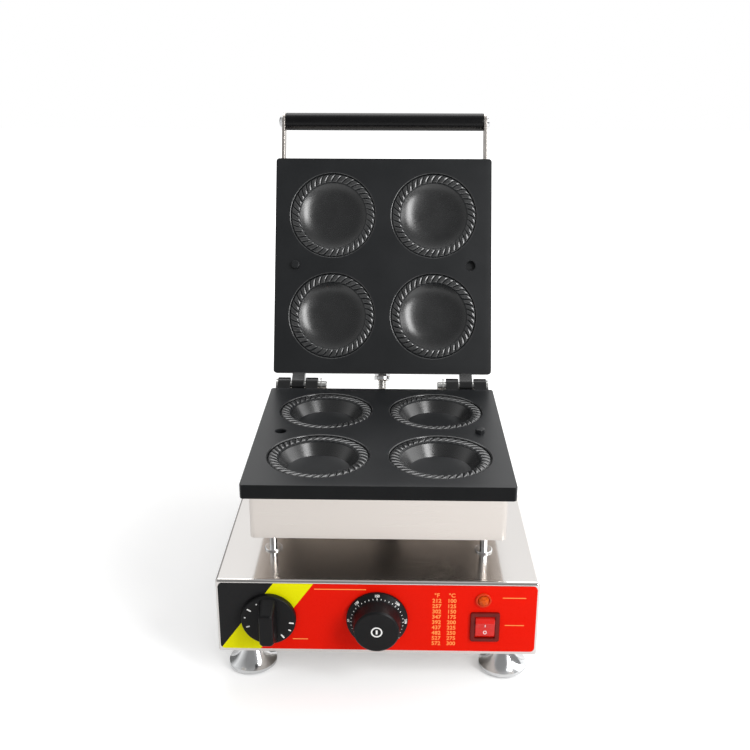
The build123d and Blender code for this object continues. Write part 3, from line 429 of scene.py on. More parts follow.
CONDUIT = Finish(
    "ribbed_conduit", (0.50, 0.49, 0.47), (0.66, 0.65, 0.62), 1.0, (0.26, 0.38),
    Grain.EVEN, 1500.0, 0.02, 0.2, 120.0,
)
COPPER = Finish(
    "drawn_copper", (0.62, 0.28, 0.15), (0.78, 0.40, 0.24), 1.0, (0.25, 0.4)
)

NODE_FINISHES: dict[str, Finish] = {"base_housing": CABINET_STEEL}

SLOT_FINISHES: dict[str, Finish] = {
    "stainless": STAINLESS,
    "fascia_red": FASCIA_RED,
    "chrome": CHROME,
    "rubber_black": RUBBER,
    "zinc_steel": PLATED,
    "knob_black": KNOB_BLACK,
    "case_plastic": CASE_CREAM,
    "switch_black": SWITCH_BLACK,
    "switch_red": SWITCH_RED,
    "lamp_amber": LAMP_AMBER,
    "lamp_orange": LAMP_RIM,
    "cast_coated": COATING,
    "element": ELEMENT,
    "mineral_wool": WOOL,
    "ceramic": CERAMIC,
    "grip_black": GRIP_BLACK,
    "conduit_steel": CONDUIT,
    "copper": COPPER,
}


def softened(points: Sequence[Point2], radii: Sequence[float], steps: int = 4) -> Outline:
    """Rounds the corners of an open path.

    Args:
        points: The path's corners.
        radii: One radius per corner between the two ends; 0 leaves the corner.
        steps: Segments per rounded corner.

    Returns:
        The path with its corners rounded.
    """
    path: Outline = [points[0]]
    for before, here, after, radius in zip(points, points[1:], points[2:], radii):
        if not radius:
            path.append(here)
            continue
        corner = Vector(here)
        back, ahead = Vector(before) - corner, Vector(after) - corner
        half = back.angle(ahead) / 2
        reach = min(radius / math.tan(half), 0.48 * back.length, 0.48 * ahead.length)
        start = corner + back.normalized() * reach
        end = corner + ahead.normalized() * reach
        for step in range(steps + 1):
            t = step / steps
            point = start * (1 - t) ** 2 + corner * (2 * t * (1 - t)) + end * t**2
            path.append((point.x, point.y))
    path.append(points[-1])
    return path


def rounded_rectangle(width: float, height: float, radius: float, steps: int = 6) -> Outline:
    """Outline of a rectangle with round corners, anticlockwise.

    Args:
        width: Size along X.
        height: Size along Y.
        radius: Corner radius.
        steps: Segments per corner.

    Returns:
        The outline's points.
    """
    points: Outline = []
    corners = ((1, 1, 0), (-1, 1, 90), (-1, -1, 180), (1, -1, 270))
    for side_x, side_y, first in corners:
        for step in range(steps + 1):
            angle = math.radians(first + 90 * step / steps)
            x = side_x * (width / 2 - radius) + radius * math.cos(angle)
            y = side_y * (height / 2 - radius) + radius * math.sin(angle)
            points.append((x, y))
    return points


def circle(radius: float, count: int, centre: Point2 = (0.0, 0.0)) -> Outline:
    """Points round a circle, anticlockwise."""
    turns = (2 * math.pi * k / count for k in range(count))
    return [(centre[0] + radius * math.cos(a), centre[1] + radius * math.sin(a)) for a in turns]


def slot_outline(length: float, width: float, steps: int = 16) -> Outline:
    """Outline of a bar along Y with round ends, anticlockwise.

    Args:
        length: Size along Y, ends included.
        width: Size along X.
        steps: Segments per end.

    Returns:
        The outline's points.
    """
    half, radius = (length - width) / 2, width / 2
    points: Outline = []
    for side, first in ((1, 0), (-1, 180)):
        for step in range(steps + 1):
            angle = math.radians(first + 180 * step / steps)
            points.append((radius * math.cos(angle), side * half + radius * math.sin(angle)))
    return points


def convex_hull(points: Iterable[Point2]) -> Outline:
    """Smallest convex outline round some points, anticlockwise.

    Args:
        points: The points, in any order.

    Returns:
        The outline's points.
    """
    ordered = sorted(set(points))

    def chain(run: Iterable[Point2]) -> Outline:
        """Half of the hull.

        Args:
            run: The points, in order along X.

        Returns:
            The half's points, without the last.
        """
        kept: Outline = []
        for x, y in run:
            while len(kept) > 1:
                (ax, ay), (bx, by) = kept[-2:]
                if (bx - ax) * (y - ay) - (by - ay) * (x - ax) > 0:
                    break
                kept.pop()
            kept.append((x, y))
        return kept[:-1]

    return chain(ordered) + chain(reversed(ordered))


def inset(outline: Outline, amount: float) -> Outline:
    """Moves an anticlockwise outline inwards.

    Args:
        outline: The outline.
        amount: How far each side moves.

    Returns:
        The smaller outline, with as many points.
    """
    moved: Outline = []
    count = len(outline)
    for k in range(count):
        before, here, after = (Vector(outline[(k + s) % count]) for s in (-1, 0, 1))
        run_in, run_out = (here - before).normalized(), (after - here).normalized()
        bisector = Vector((-run_in.y - run_out.y, run_in.x + run_out.x))
        point = here + bisector * (amount / max(bisector.length_squared / 2, 0.3))
        moved.append((point.x, point.y))
    return moved


def level(outline: Iterable[Point2], z: float) -> list[Vector]:
    """An outline's points at one height."""
    return [Vector((x, y, z)) for x, y in outline]


def rows_of(mesh: Mesh, rings: Iterable[Iterable[Vector]]) -> list[Row]:
    """Adds rings of points to a mesh, as rows of vertices."""
    return [[mesh.verts.new(point) for point in ring] for ring in rings]


def skin(mesh: Mesh, rows: Sequence[Row]) -> None:
    """Adds the faces between rows of vertices.

    Args:
        mesh: The mesh.
        rows: The rows, with as many vertices each, or one where they meet the axis.
    """
    for low, high in zip(rows, rows[1:]):
        count = max(len(low), len(high))
        for k in range(count):
            n = (k + 1) % count
            if len(low) == 1:
                mesh.faces.new((low[0], high[n], high[k]))
            elif len(high) == 1:
                mesh.faces.new((low[k], low[n], high[0]))
            else:
                mesh.faces.new((low[k], low[n], high[n], high[k]))


def shell(rings: Iterable[Iterable[Vector]], capped: bool = True) -> Mesh:
    """Skins rings that have as many points each.

    Args:
        rings: The rings, in order.
        capped: True closes both ends; False joins the last ring to the first.

    Returns:
        The mesh, in millimetres.
    """
    mesh = bmesh.new()
    rows = rows_of(mesh, rings)
    if capped:
        mesh.faces.new(list(reversed(rows[0])))
        mesh.faces.new(rows[-1])
    else:
        rows.append(rows[0])
    skin(mesh, rows)
    return mesh


def hoop(section: Iterable[Point2], steps: int) -> Mesh:
    """Turns a closed section of radii and heights round Z, clear of the axis."""
    return shell([level(circle(radius, steps), z) for radius, z in section], capped=False)


def turned(profile: Sequence[Point2], steps: int = 72) -> Mesh:
    """Turns a profile round Z. It starts and ends on the axis.

    Args:
        profile: Radius and height, from the axis to the axis.
        steps: Segments round the axis.

    Returns:
        The closed mesh, in millimetres.
    """
    mesh = bmesh.new()
    on_axis = 1e-6
    rings = [level(circle(r, steps) if r > on_axis else [(0, 0)], z) for r, z in profile]
    skin(mesh, rows_of(mesh, rings))
    return mesh


def bar(outline: Outline, low: float, high: float, edge: float) -> Mesh:
    """Solid of one outline along Z with softened end edges.

    Args:
        outline: Anticlockwise outline in X and Y.
        low: Lower end.
        high: Upper end.
        edge: Width of the softened edges.

    Returns:
        The closed mesh, in millimetres.
    """
    turns = [math.pi / 8 * k for k in range(5)]
    rounding = [(edge * (1 - math.cos(t)), edge * (1 - math.sin(t))) for t in turns]
    rings = [level(inset(outline, drawn_in), low + lift) for drawn_in, lift in rounding[::-1]]
    rings += [level(inset(outline, drawn_in), high - lift) for drawn_in, lift in rounding]
    return shell(rings)


def stroke(width: float, length: float, corner: float, steps: int = 3) -> Mesh:
    """A printed bar along Y, as thin as ink."""
    return bar(rounded_rectangle(width, length, corner, steps), -INK, INK, 0.01)


def across(mesh: Mesh) -> Mesh:
    """Turns a mesh drawn in X, Y and Z so that they run along Y, Z and X."""
    mesh.transform(Matrix(((0, 0, 1, 0), (1, 0, 0, 0), (0, 1, 0, 0), (0, 0, 0, 1))))
    return mesh


def shift(x: float, y: float, z: float = 0.0) -> Matrix:
    """A move, in the units of the mesh that it moves."""
    return Matrix.Translation((x, y, z))


def spin(degrees: float, axis: str) -> Matrix:
    """A turn about one axis through the origin."""
    return Matrix.Rotation(math.radians(degrees), 4, axis)


def placed(name: str, data: bpy.types.ID) -> bpy.types.Object:
    """Puts a mesh, curve, light or camera into the scene.

    Args:
        name: The object's name.
        data: What the object holds.

    Returns:
        The object.
    """
    made = bpy.data.objects.new(name, data)
    bpy.context.scene.collection.objects.link(made)
    return made


def evaluated(maker: bpy.types.Object) -> bpy.types.Mesh:
    """The mesh that an object's curve or modifiers give."""
    graph = bpy.context.evaluated_depsgraph_get()
    return bpy.data.meshes.new_from_object(maker.evaluated_get(graph))


def gather(parts: Iterable[tuple[Mesh, Matrix]]) -> Mesh:
    """Puts several meshes into one.

    Args:
        parts: Each mesh and where it goes.

    Returns:
        The one mesh; the others are freed.
    """
    whole = bmesh.new()
    for part, place in parts:
        part.transform(place)
        loose = bpy.data.meshes.new("loose")
        part.to_mesh(loose)
        part.free()
        whole.from_mesh(loose)
        bpy.data.meshes.remove(loose)
    return whole


def lettered(text: str, size: float) -> Mesh:
    """Flat characters, centred on the origin and facing +Z.

    Args:
        text: The characters.
        size: Their size in millimetres.

    Returns:
        The mesh, in millimetres.
    """
    curve = bpy.data.curves.new("characters", "FONT")
    curve.body = text
    curve.size = size
    curve.extrude = INK
    curve.offset = size * 0.02
    curve.resolution_u = 3
    curve.align_x = "CENTER"
    curve.align_y = "CENTER"
    maker = placed("characters", curve)
    flat = evaluated(maker)
    mesh = bmesh.new()
    mesh.from_mesh(flat)
    bpy.data.objects.remove(maker)
    bpy.data.curves.remove(curve)
    bpy.data.meshes.remove(flat)
    return mesh


def combined(body: Mesh, other: Mesh, operation: str) -> Mesh:
    """Joins a solid to another, or cuts one out of it.

    Args:
        body: The solid that is kept.
        other: The solid that is added or taken away.
        operation: UNION or DIFFERENCE.

    Returns:
        The new solid; the two are freed.
    """
    made = []
    for name, mesh in (("body", body), ("other", other)):
        bmesh.ops.recalc_face_normals(mesh, faces=mesh.faces)
        data = bpy.data.meshes.new(name)
        mesh.to_mesh(data)
        mesh.free()
        made.append(placed(name, data))
    cut = made[0].modifiers.new("join", "BOOLEAN")
    cut.object = made[1]
    cut.operation = operation
    cut.solver = "EXACT"
    result = evaluated(made[0])
    mesh = bmesh.new()
    mesh.from_mesh(result)
    bpy.data.meshes.remove(result)
    for holder in made:
        data = holder.data
        bpy.data.objects.remove(holder)
        bpy.data.meshes.remove(data)
    return mesh


@dataclass
class Piece:
    """One finished piece: its mesh in millimetres, its finishes and what it rides on."""

    name: str
    mesh: Mesh
    finishes: Sequence[Finish]
    body: str
    slot: str
    place: Matrix = field(default_factory=lambda: Matrix.Identity(4))
    stands_for: Sequence[str] = ()
    crease: float = 32.0
    pick: Callable[[Vector], int] | None = None

    def build(self, rides: bool = True) -> bpy.types.Object:
        """Makes the object and hangs it on its body.

        Args:
            rides: False leaves it without a body.

        Returns:
            The object.
        """
        bmesh.ops.remove_doubles(self.mesh, verts=self.mesh.verts, dist=1e-4)
        bmesh.ops.recalc_face_normals(self.mesh, faces=self.mesh.faces)
        if self.pick:
            for face in self.mesh.faces:
                face.material_index = self.pick(face.calc_center_median())
        self.mesh.transform(self.place @ Matrix.Scale(MM, 4))
        data = bpy.data.meshes.new(self.name)
        self.mesh.to_mesh(data)
        self.mesh.free()
        data.polygons.foreach_set("use_smooth", [True] * len(data.polygons))
        data.set_sharp_from_angle(angle=math.radians(self.crease))
        for finish in self.finishes:
            data.materials.append(finish.material())
        made = placed(self.name, data)
        weights = made.modifiers.new("even_normals", "WEIGHTED_NORMAL")
        weights.keep_sharp = True
        if self.stands_for:
            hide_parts(*self.stands_for)
        if rides:
            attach(made, self.body)
        log.info("%s on %s, %d faces", self.name, self.body, len(data.polygons))
        return made


@dataclass
class Layout:
    """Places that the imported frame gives, in metres."""

    front: float
    top: float
    bottom: float
    parting: float
    middle: float
    lid: Matrix

    @classmethod
    def read(cls) -> "Layout":
        """Reads the places of the cabinet, the plates and the open lid.

        Returns:
            The layout.
        """
        low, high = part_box("base_housing")
        pan_low, pan_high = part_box("lower_pan")
        hinge = next(j for j in frame["joints"] if j["name"] == "lid_hinge")
        pivot = Vector(hinge["pos_m"])
        parting = pan_high.z + PLATE_THICK * MM
        middle = (pan_low.y + pan_high.y) / 2
        closed = shift(0, middle, parting + PLATE_GAP * MM) @ spin(180, "Y")
        opened = shift(*pivot) @ spin(-OPENING, "X") @ shift(*-pivot) @ closed
        return cls(low.y, high.z, low.z, parting, middle, opened)

    def control(self, x: float, drop: float) -> Matrix:
        """Frame of a control on the cabinet's front, with +Z out of the panel.

        Args:
            x: Distance to the right of the middle, in millimetres.
            drop: Distance below the cabinet's top, in millimetres.

        Returns:
            The frame.
        """
        return shift(x * MM, self.front, self.top - drop * MM) @ spin(90, "X")

    def lower(self) -> Matrix:
        """Frame of the lower unit, with its mould face at Z = 0."""
        return shift(0, self.middle, self.parting)


@dataclass
class RopeRings:
    """Rings of slanted, rope-like lobes round the moulds."""

    inner: float = MOULD_RADIUS
    outer: float = 41.8
    seat: float = -RING_SEAT
    floor: float = 0.7
    height: float = 1.55
    lobes: int = 40
    lean: float = 32.0
    steps: int = 10
    rows: int = 12
    land: float = 0.35
    fullness: float = 0.42

    def ring(self) -> Mesh:
        """One ring, centred on the origin.

        Returns:
            The closed mesh, in millimetres.
        """
        middle = (self.inner + self.outer) / 2
        slope = math.tan(math.radians(self.lean)) / middle
        count = self.lobes * self.steps
        base = self.seat + self.floor

        def row(radius: float, crown: float, foot: float = base) -> list[Vector]:
            """Points round the ring at one radius, sheared along the lobes.

            Args:
                radius: The row's radius.
                crown: The lobes' share of their full height.
                foot: Height between the lobes.

            Returns:
                The row's points.
            """
            turn = -(radius - middle) * slope
            points = []
            for k in range(count):
                angle = 2 * math.pi * k / count + turn
                side = 2 * (k % self.steps) / self.steps - 1
                z = foot + self.height * crown * math.sqrt(max(0.0, 1 - side * side))
                points.append(Vector((radius * math.cos(angle), radius * math.sin(angle), z)))
            return points

        low, high = self.inner + self.land, self.outer - self.land
        rings = [row(self.inner, 0, self.seat), row(self.inner, 0, base - 0.25)]
        for step in range(self.rows + 1):
            t = step / self.rows
            crown = math.sin(math.pi * t) ** self.fullness if 0 < t < 1 else 0.0
            rings.append(row(low + (high - low) * t, crown))
        rings += [row(self.outer, 0, base - 0.1), row(self.outer, 0, self.seat)]
        return shell(rings, capped=False)

    def build(self, name: str, body: str, place: Matrix, centres: Iterable[Point2]) -> None:
        """Makes the four rings of one plate.

        Args:
            name: The plate's name.
            body: The body that it rides on.
            place: The plate's frame.
            centres: The moulds' middles.
        """
        # faces above this height, the lobes' crests, take the lighter colour of a painted highlight
        sheen_level = self.seat + self.floor + 0.5
        Piece(
            f"{name}_rope_rings", gather((self.ring(), shift(x, y)) for x, y in centres),
            [COATING, PAINTED_CREST_SHEEN], body, "cast_coated", place, [f"{name}_crimps"], 50.0,
            lambda point: int(point.z > sheen_level),
        ).build()


@dataclass
class MouldPlate:
    """A cast plate with four moulds, hinge lugs, a locating pin and its hole."""

    name: str
    body: str
    place: Matrix
    cup: Sequence[Point2]
    fillets: Sequence[float]
    lugs: Sequence[Point2]
    pin_z: float
    lug_top: float
    heel: Sequence[Point2] = ()
    size: float = 214.0
    corner: float = 3.0
    edge: float = 0.6
    pitch: float = 100.0
    recess: float = 42.0
    lip: float = 0.9
    spokes: int = 96
    knuckle: float = 7.5
    dowel_x: float = 86.3
    dowel: Sequence[Point2] = ((0, -3), (4, -3), (4, 4), (0, 4))
    dowel_hole: Sequence[Point2] = (
        (0, -6), (4.8, -6), (4.8, -0.5), (5.3, 0), (5.3, 1), (0, 1)
    )

    def centres(self) -> list[Point2]:
        """The moulds' middles."""
        half = self.pitch / 2
        return [(x, y) for x in (-half, half) for y in (-half, half)]

    def mould_cell(self, centre: Point2) -> Mesh:
        """One mould with the square of flat face round it.

        Args:
            centre: The mould's middle.

        Returns:
            The open mesh, in millimetres.
        """
        profile = softened(
            [*self.cup, (self.recess, -RING_SEAT), (self.recess, -self.lip)],
            [*self.fillets, 0.3],
            6,
        )
        for k in range(1, 6):
            turn = math.pi / 2 * k / 5
            out, down = 1 - math.cos(turn), 1 - math.sin(turn)
            profile.append((self.recess + self.lip * out, -self.lip * down))
        x0, y0 = centre
        square = []
        for x, y in circle(1.0, self.spokes):
            reach = self.pitch / 2 / max(abs(x), abs(y))
            square.append((x0 + reach * x, y0 + reach * y))
        mesh = bmesh.new()
        rings = [level(circle(radius, self.spokes, centre), z) for radius, z in profile[1:]]
        rows = rows_of(mesh, [*rings, level(square, 0)])
        middle = mesh.verts.new((x0, y0, profile[0][1]))
        for k in range(self.spokes):
            n = (k + 1) % self.spokes
            mesh.faces.new((middle, rows[0][k], rows[0][n]))
            for low, high in zip(rows, rows[1:]):
                mesh.faces.new((low[k], high[k], high[n], low[n]))
        return mesh

    def slab(self) -> Mesh:
        """The plate's edges and back, open at the top face.

        Returns:
            The open mesh, in millimetres.
        """
        outline = rounded_rectangle(self.size, self.size, self.corner)
        soft, shoulder, back = self.edge, self.edge * 0.3, -PLATE_THICK
        levels = [(soft, back), (shoulder, back + shoulder), (0, back + soft)]
        levels += [(0, -soft), (shoulder, -shoulder), (soft, 0)]
        mesh = bmesh.new()
        rows = rows_of(mesh, [level(inset(outline, drawn_in), z) for drawn_in, z in levels])
        mesh.faces.new(list(reversed(rows[0])))
        skin(mesh, rows)
        return mesh

    def region(self, point: Vector) -> int:
        """A face's finish: 0 flats, 1 lips with a painted highlight, 2 moulds, 3 the plate's sides, 4 hinge lugs.

        Args:
            point: The face's middle, in millimetres.

        Returns:
            The finish's place in the plate's list.
        """
        if point.y > self.size / 2 + 0.5:
            return 4
        if max(abs(point.x), abs(point.y)) > self.size / 2 - 0.4:
            return 3
        x, y = abs(point.x) - self.pitch / 2, abs(point.y) - self.pitch / 2
        reach = math.hypot(x, y)
        if point.z > -PLATE_THICK + 0.1 and reach < self.recess:
            return 2
        # the lips round each mould take the lighter colour of a painted highlight
        return int(-RING_SEAT < point.z < 0 and reach < self.recess + self.lip)

    def lug(self, low: float, high: float) -> Mesh:
        """One hinge lug, from the plate's back edge round the pin.

        Args:
            low: Its lower end along X.
            high: Its upper end along X.

        Returns:
            The closed mesh, in millimetres.
        """
        back = self.size / 2 - 2.0
        points = circle(self.knuckle, 40, (PIN_Y, self.pin_z))
        points += [(back, self.lug_top), (back, -PLATE_THICK + 0.4)]
        return across(bar(convex_hull(points), low, high, 0.5))

    def plate(self) -> Mesh:
        """The whole casting as one solid.

        Returns:
            The closed mesh, in millimetres.
        """
        cells = [(self.mould_cell(centre), Matrix()) for centre in self.centres()]
        mesh = gather([*cells, (self.slab(), Matrix())])
        bmesh.ops.remove_doubles(mesh, verts=mesh.verts, dist=1e-3)
        rim = [edge for edge in mesh.edges if edge.is_boundary]
        bmesh.ops.triangle_fill(mesh, edges=rim, use_beauty=True)
        for low, high in self.lugs:
            mesh = combined(mesh, self.lug(low, high), "UNION")
            if self.heel:
                stop = across(bar(list(self.heel), low, high, 0.4))
                mesh = combined(mesh, stop, "UNION")
        pin = turned(softened(self.dowel, [0.1, 1.0]), 40)
        pin.transform(shift(self.dowel_x, 0))
        hole = turned(self.dowel_hole, 40)
        hole.transform(shift(-self.dowel_x, 0))
        return combined(combined(mesh, pin, "UNION"), hole, "DIFFERENCE")

    def build(self) -> None:
        """Makes the plate and its crimping rings."""
        Piece(
            f"{self.name}_mould_plate", self.plate(),
            [COATING, PAINTED_CREST_SHEEN, MOULD_FACE, COATED_SIDE, HINGE_BLACK], self.body, "cast_coated",
            self.place, [f"{self.name}_plate"], pick=self.region,
        ).build()
        RopeRings().build(self.name, self.body, self.place, self.centres())


@dataclass
class Fascia:
    """Printed panel on the cabinet's front: a black, yellow and red field and plain numbers."""

    layout: Layout
    width: float = 246.0
    height: float = 58.5
    corner: float = 3.5
    black_edge: tuple[Point2, Point2] = ((-80.0, -2.0), (-122.0, -60.0))
    yellow_edge: tuple[Point2, Point2] = ((-49.0, -2.0), (-91.0, -60.0))
    celsius: Sequence[int] = (100, 125, 150, 175, 200, 225, 250, 275, 300)
    column_x: Point2 = (46.0, 57.6)
    first_row: float = -11.0
    row_pitch: float = 4.8
    letter: float = 4.7
    rule: float = 0.7
    rules: Sequence[Point3] = (
        (-28.5, -6.6, 40.0), (-60.0, -51.6, 12.0), (105.5, -12.6, 18.0), (106.5, -37.0, 15.0)
    )

    def side_of(self, edge: tuple[Point2, Point2], x: float, y: float) -> float:
        """Above 0 to the left of a slanted edge of the print.

        Args:
            edge: The edge's two ends.
            x: Across the panel.
            y: Up the panel.

        Returns:
            The side, as an area.
        """
        (ax, ay), (bx, by) = edge
        return (bx - ax) * (y - CABINET_HEIGHT / 2 - ay) - (by - ay) * (x - ax)

    def field_at(self, point: Vector) -> int:
        """Which of the three prints lies at a point.

        Args:
            point: The point, in millimetres.

        Returns:
            0 for black, 1 for yellow and 2 for red.
        """
        if self.side_of(self.black_edge, point.x, point.y) < 0:
            return 0
        return 1 if self.side_of(self.yellow_edge, point.x, point.y) < 0 else 2

    def build(self) -> None:
        """Makes the panel and its print."""
        panel = bar(rounded_rectangle(self.width, self.height, self.corner, 8), 0.0, PANEL, 0.25)
        for (ax, ay), (bx, by) in (self.black_edge, self.yellow_edge):
            bmesh.ops.bisect_plane(
                panel,
                geom=[*panel.verts, *panel.edges, *panel.faces],
                plane_co=(ax, ay + CABINET_HEIGHT / 2, 0),
                plane_no=(ay - by, bx - ax, 0),
            )
        Piece(
            "printed_fascia", panel, [FASCIA_BLACK, FASCIA_YELLOW, FASCIA_RED], "base",
            "fascia_red", self.layout.control(0, CABINET_HEIGHT / 2), ["control_panel"],
            pick=self.field_at,
        ).build()
        self.print_numbers()

    def print_numbers(self) -> None:
        """Prints a plain temperature table and plain rules beside the controls."""
        lift = PANEL + INK
        parts = []
        fahrenheit = [round(c * 1.8 + 32) for c in self.celsius]
        columns = zip(self.column_x, (("°F", *fahrenheit), ("°C", *self.celsius)))
        for x, values in columns:
            for row, value in enumerate(values):
                y = self.first_row - self.row_pitch * row
                parts.append((lettered(str(value), self.letter), shift(x, y, lift)))
        for x, y, length in self.rules:
            parts.append((stroke(length, self.rule, 0.3), shift(x, y, lift)))
        Piece(
            "fascia_numbers", gather(parts), [INK_ORANGE], "base", "fascia_red",
            self.layout.control(0, 0),
        ).build()


@dataclass
class TimerKnob:
    """Timer knob: a flat skirt with printed marks and a bar grip."""

    layout: Layout
    x: float = -84.0
    radius: float = 21.3
    skirt: float = 5.0
    reach: float = 15.0
    grip_foot: Point2 = (13.4, 38.6)
    grip_taper: Point2 = (2.6, 12.0)
    # each mark's angle from the top, its distance from the middle, its length and width
    marks: Sequence[tuple[float, float, float, float]] = (
        (2, 13.9, 4.0, 1.3),
        (-31, 16.8, 1.2, 1.1),
        (-58, 17.2, 3.6, 1.2),
        (-82, 18.2, 1.3, 1.1),
        (-109, 16.8, 3.0, 1.1),
        (96, 18.0, 3.8, 1.2),
        (117, 18.4, 2.2, 1.1),
        (142, 17.6, 4.0, 1.2),
    )

    def grip(self) -> Mesh:
        """The bar grip, narrower towards its front.

        Returns:
            The closed mesh, in millimetres.
        """
        foot = KNOB_BACK + self.skirt - 0.4
        crest = KNOB_BACK + self.skirt + self.reach
        rings = []
        levels = ((0, 0, 0), (0, 0.8, 0.02), (0, 6, 0.4), (0, 13.6, 0.92))
        soft = ((0.15, 14.5, 0.96), (0.5, 15.0, 0.98), (1.0, 15.3, 1.0), (1.7, 15.4, 1.0))
        for drawn_in, rise, t in (*levels, *soft):
            width, length = (a - b * t for a, b in zip(self.grip_foot, self.grip_taper))
            outline = inset(rounded_rectangle(width, length, 4.0 - t), drawn_in)
            rings.append(level(outline, min(foot + rise, crest)))
        return shell(rings)

    def build(self) -> None:
        """Makes the knob and its marks."""
        place = self.layout.control(self.x, KNOB_DROP)
        face = KNOB_BACK + self.skirt
        profile = [(0, KNOB_BACK), (self.radius, KNOB_BACK), (self.radius, face), (0, face)]
        skirt = turned(softened(profile, [0.4, 1.5], 6), 96)
        Piece(
            "timer_dial_knob", gather([(skirt, Matrix()), (self.grip(), Matrix())]),
            [KNOB_BLACK], "timer_knob", "knob_black", place, ["timer_knob"],
        ).build()
        marks = []
        for angle, radius, length, width in self.marks:
            mark = stroke(width, length, min(width, length) * 0.3)
            marks.append((mark, spin(-angle, "Z") @ shift(0, radius, face + 0.02)))
        Piece(
            "timer_dial_marks", gather(marks), [INK_WHITE], "timer_knob", "knob_black", place
        ).build()


@dataclass
class ThermostatKnob:
    """Thermostat knob: a sloped dial ring with numbers and a round cap."""

    layout: Layout
    rim: Point2 = (23.8, KNOB_BACK + 2.4)
    shoulder: Point2 = (19.0, KNOB_BACK + 5.4)
    cap: Sequence[Point2] = ((17.4, 19.2), (16.2, 20.3), (5.0, 20.3), (4.8, 19.8), (0, 19.8))
    badge: Sequence[Point2] = ((3.3, 19.8), (4.4, 19.8), (4.4, 19.92), (3.3, 19.92))
    numbers: Sequence[int] = (0, 50, 100, 150, 200, 250, 300)
    sweep: float = 270.0
    number_radius: float = 22.1
    tick_radius: float = 20.1
    ticks: int = 5

    def ring_place(self, angle: float, radius: float) -> Matrix:
        """Frame on the sloped dial ring, facing out of it.

        Args:
            angle: Degrees clockwise from the top.
            radius: Distance from the dial's middle.

        Returns:
            The frame, in millimetres.
        """
        (outer, low), (inner, high) = self.rim, self.shoulder
        z = low + (high - low) * (outer - radius) / (outer - inner) + INK
        slope = math.degrees(math.atan2(high - low, outer - inner))
        return spin(-angle, "Z") @ shift(0, radius, z) @ spin(-slope, "X")

    def build(self) -> None:
        """Makes the knob, its numbers and ticks, and the plain badge."""
        place = self.layout.control(0, KNOB_DROP)
        profile = [(0, KNOB_BACK), (self.rim[0], KNOB_BACK), self.rim, self.shoulder, *self.cap]
        knob = turned(softened(profile, [0.4, 0.5, 0.8, 0.9, 0.9, 0.2, 0.15], 4), 96)
        Piece(
            "thermostat_dial_knob", knob, [KNOB_BLACK], "thermostat_knob", "knob_black", place,
            ["thermostat_knob"],
        ).build()
        parts = []
        gaps = len(self.numbers) - 1
        step, first = self.sweep / gaps, -self.sweep / 2
        for k, number in enumerate(self.numbers):
            spot = self.ring_place(first + step * k, self.number_radius)
            parts.append((lettered(str(number), 2.7), spot))
        for k in range(self.ticks * gaps + 1):
            tick = stroke(0.45, 1.0 if k % self.ticks else 1.5, 0.1, 2)
            parts.append((tick, self.ring_place(first + step / self.ticks * k, self.tick_radius)))
        face = self.badge[0][1]
        bolt = bar(rounded_rectangle(1.4, 3.6, 0.3, 3), face, face + 0.1, 0.02)
        parts += [(hoop(self.badge, 48), Matrix()), (bolt, Matrix())]
        Piece(
            "thermostat_dial_marks", gather(parts), [INK_WHITE], "thermostat_knob",
            "knob_black", place,
        ).build()


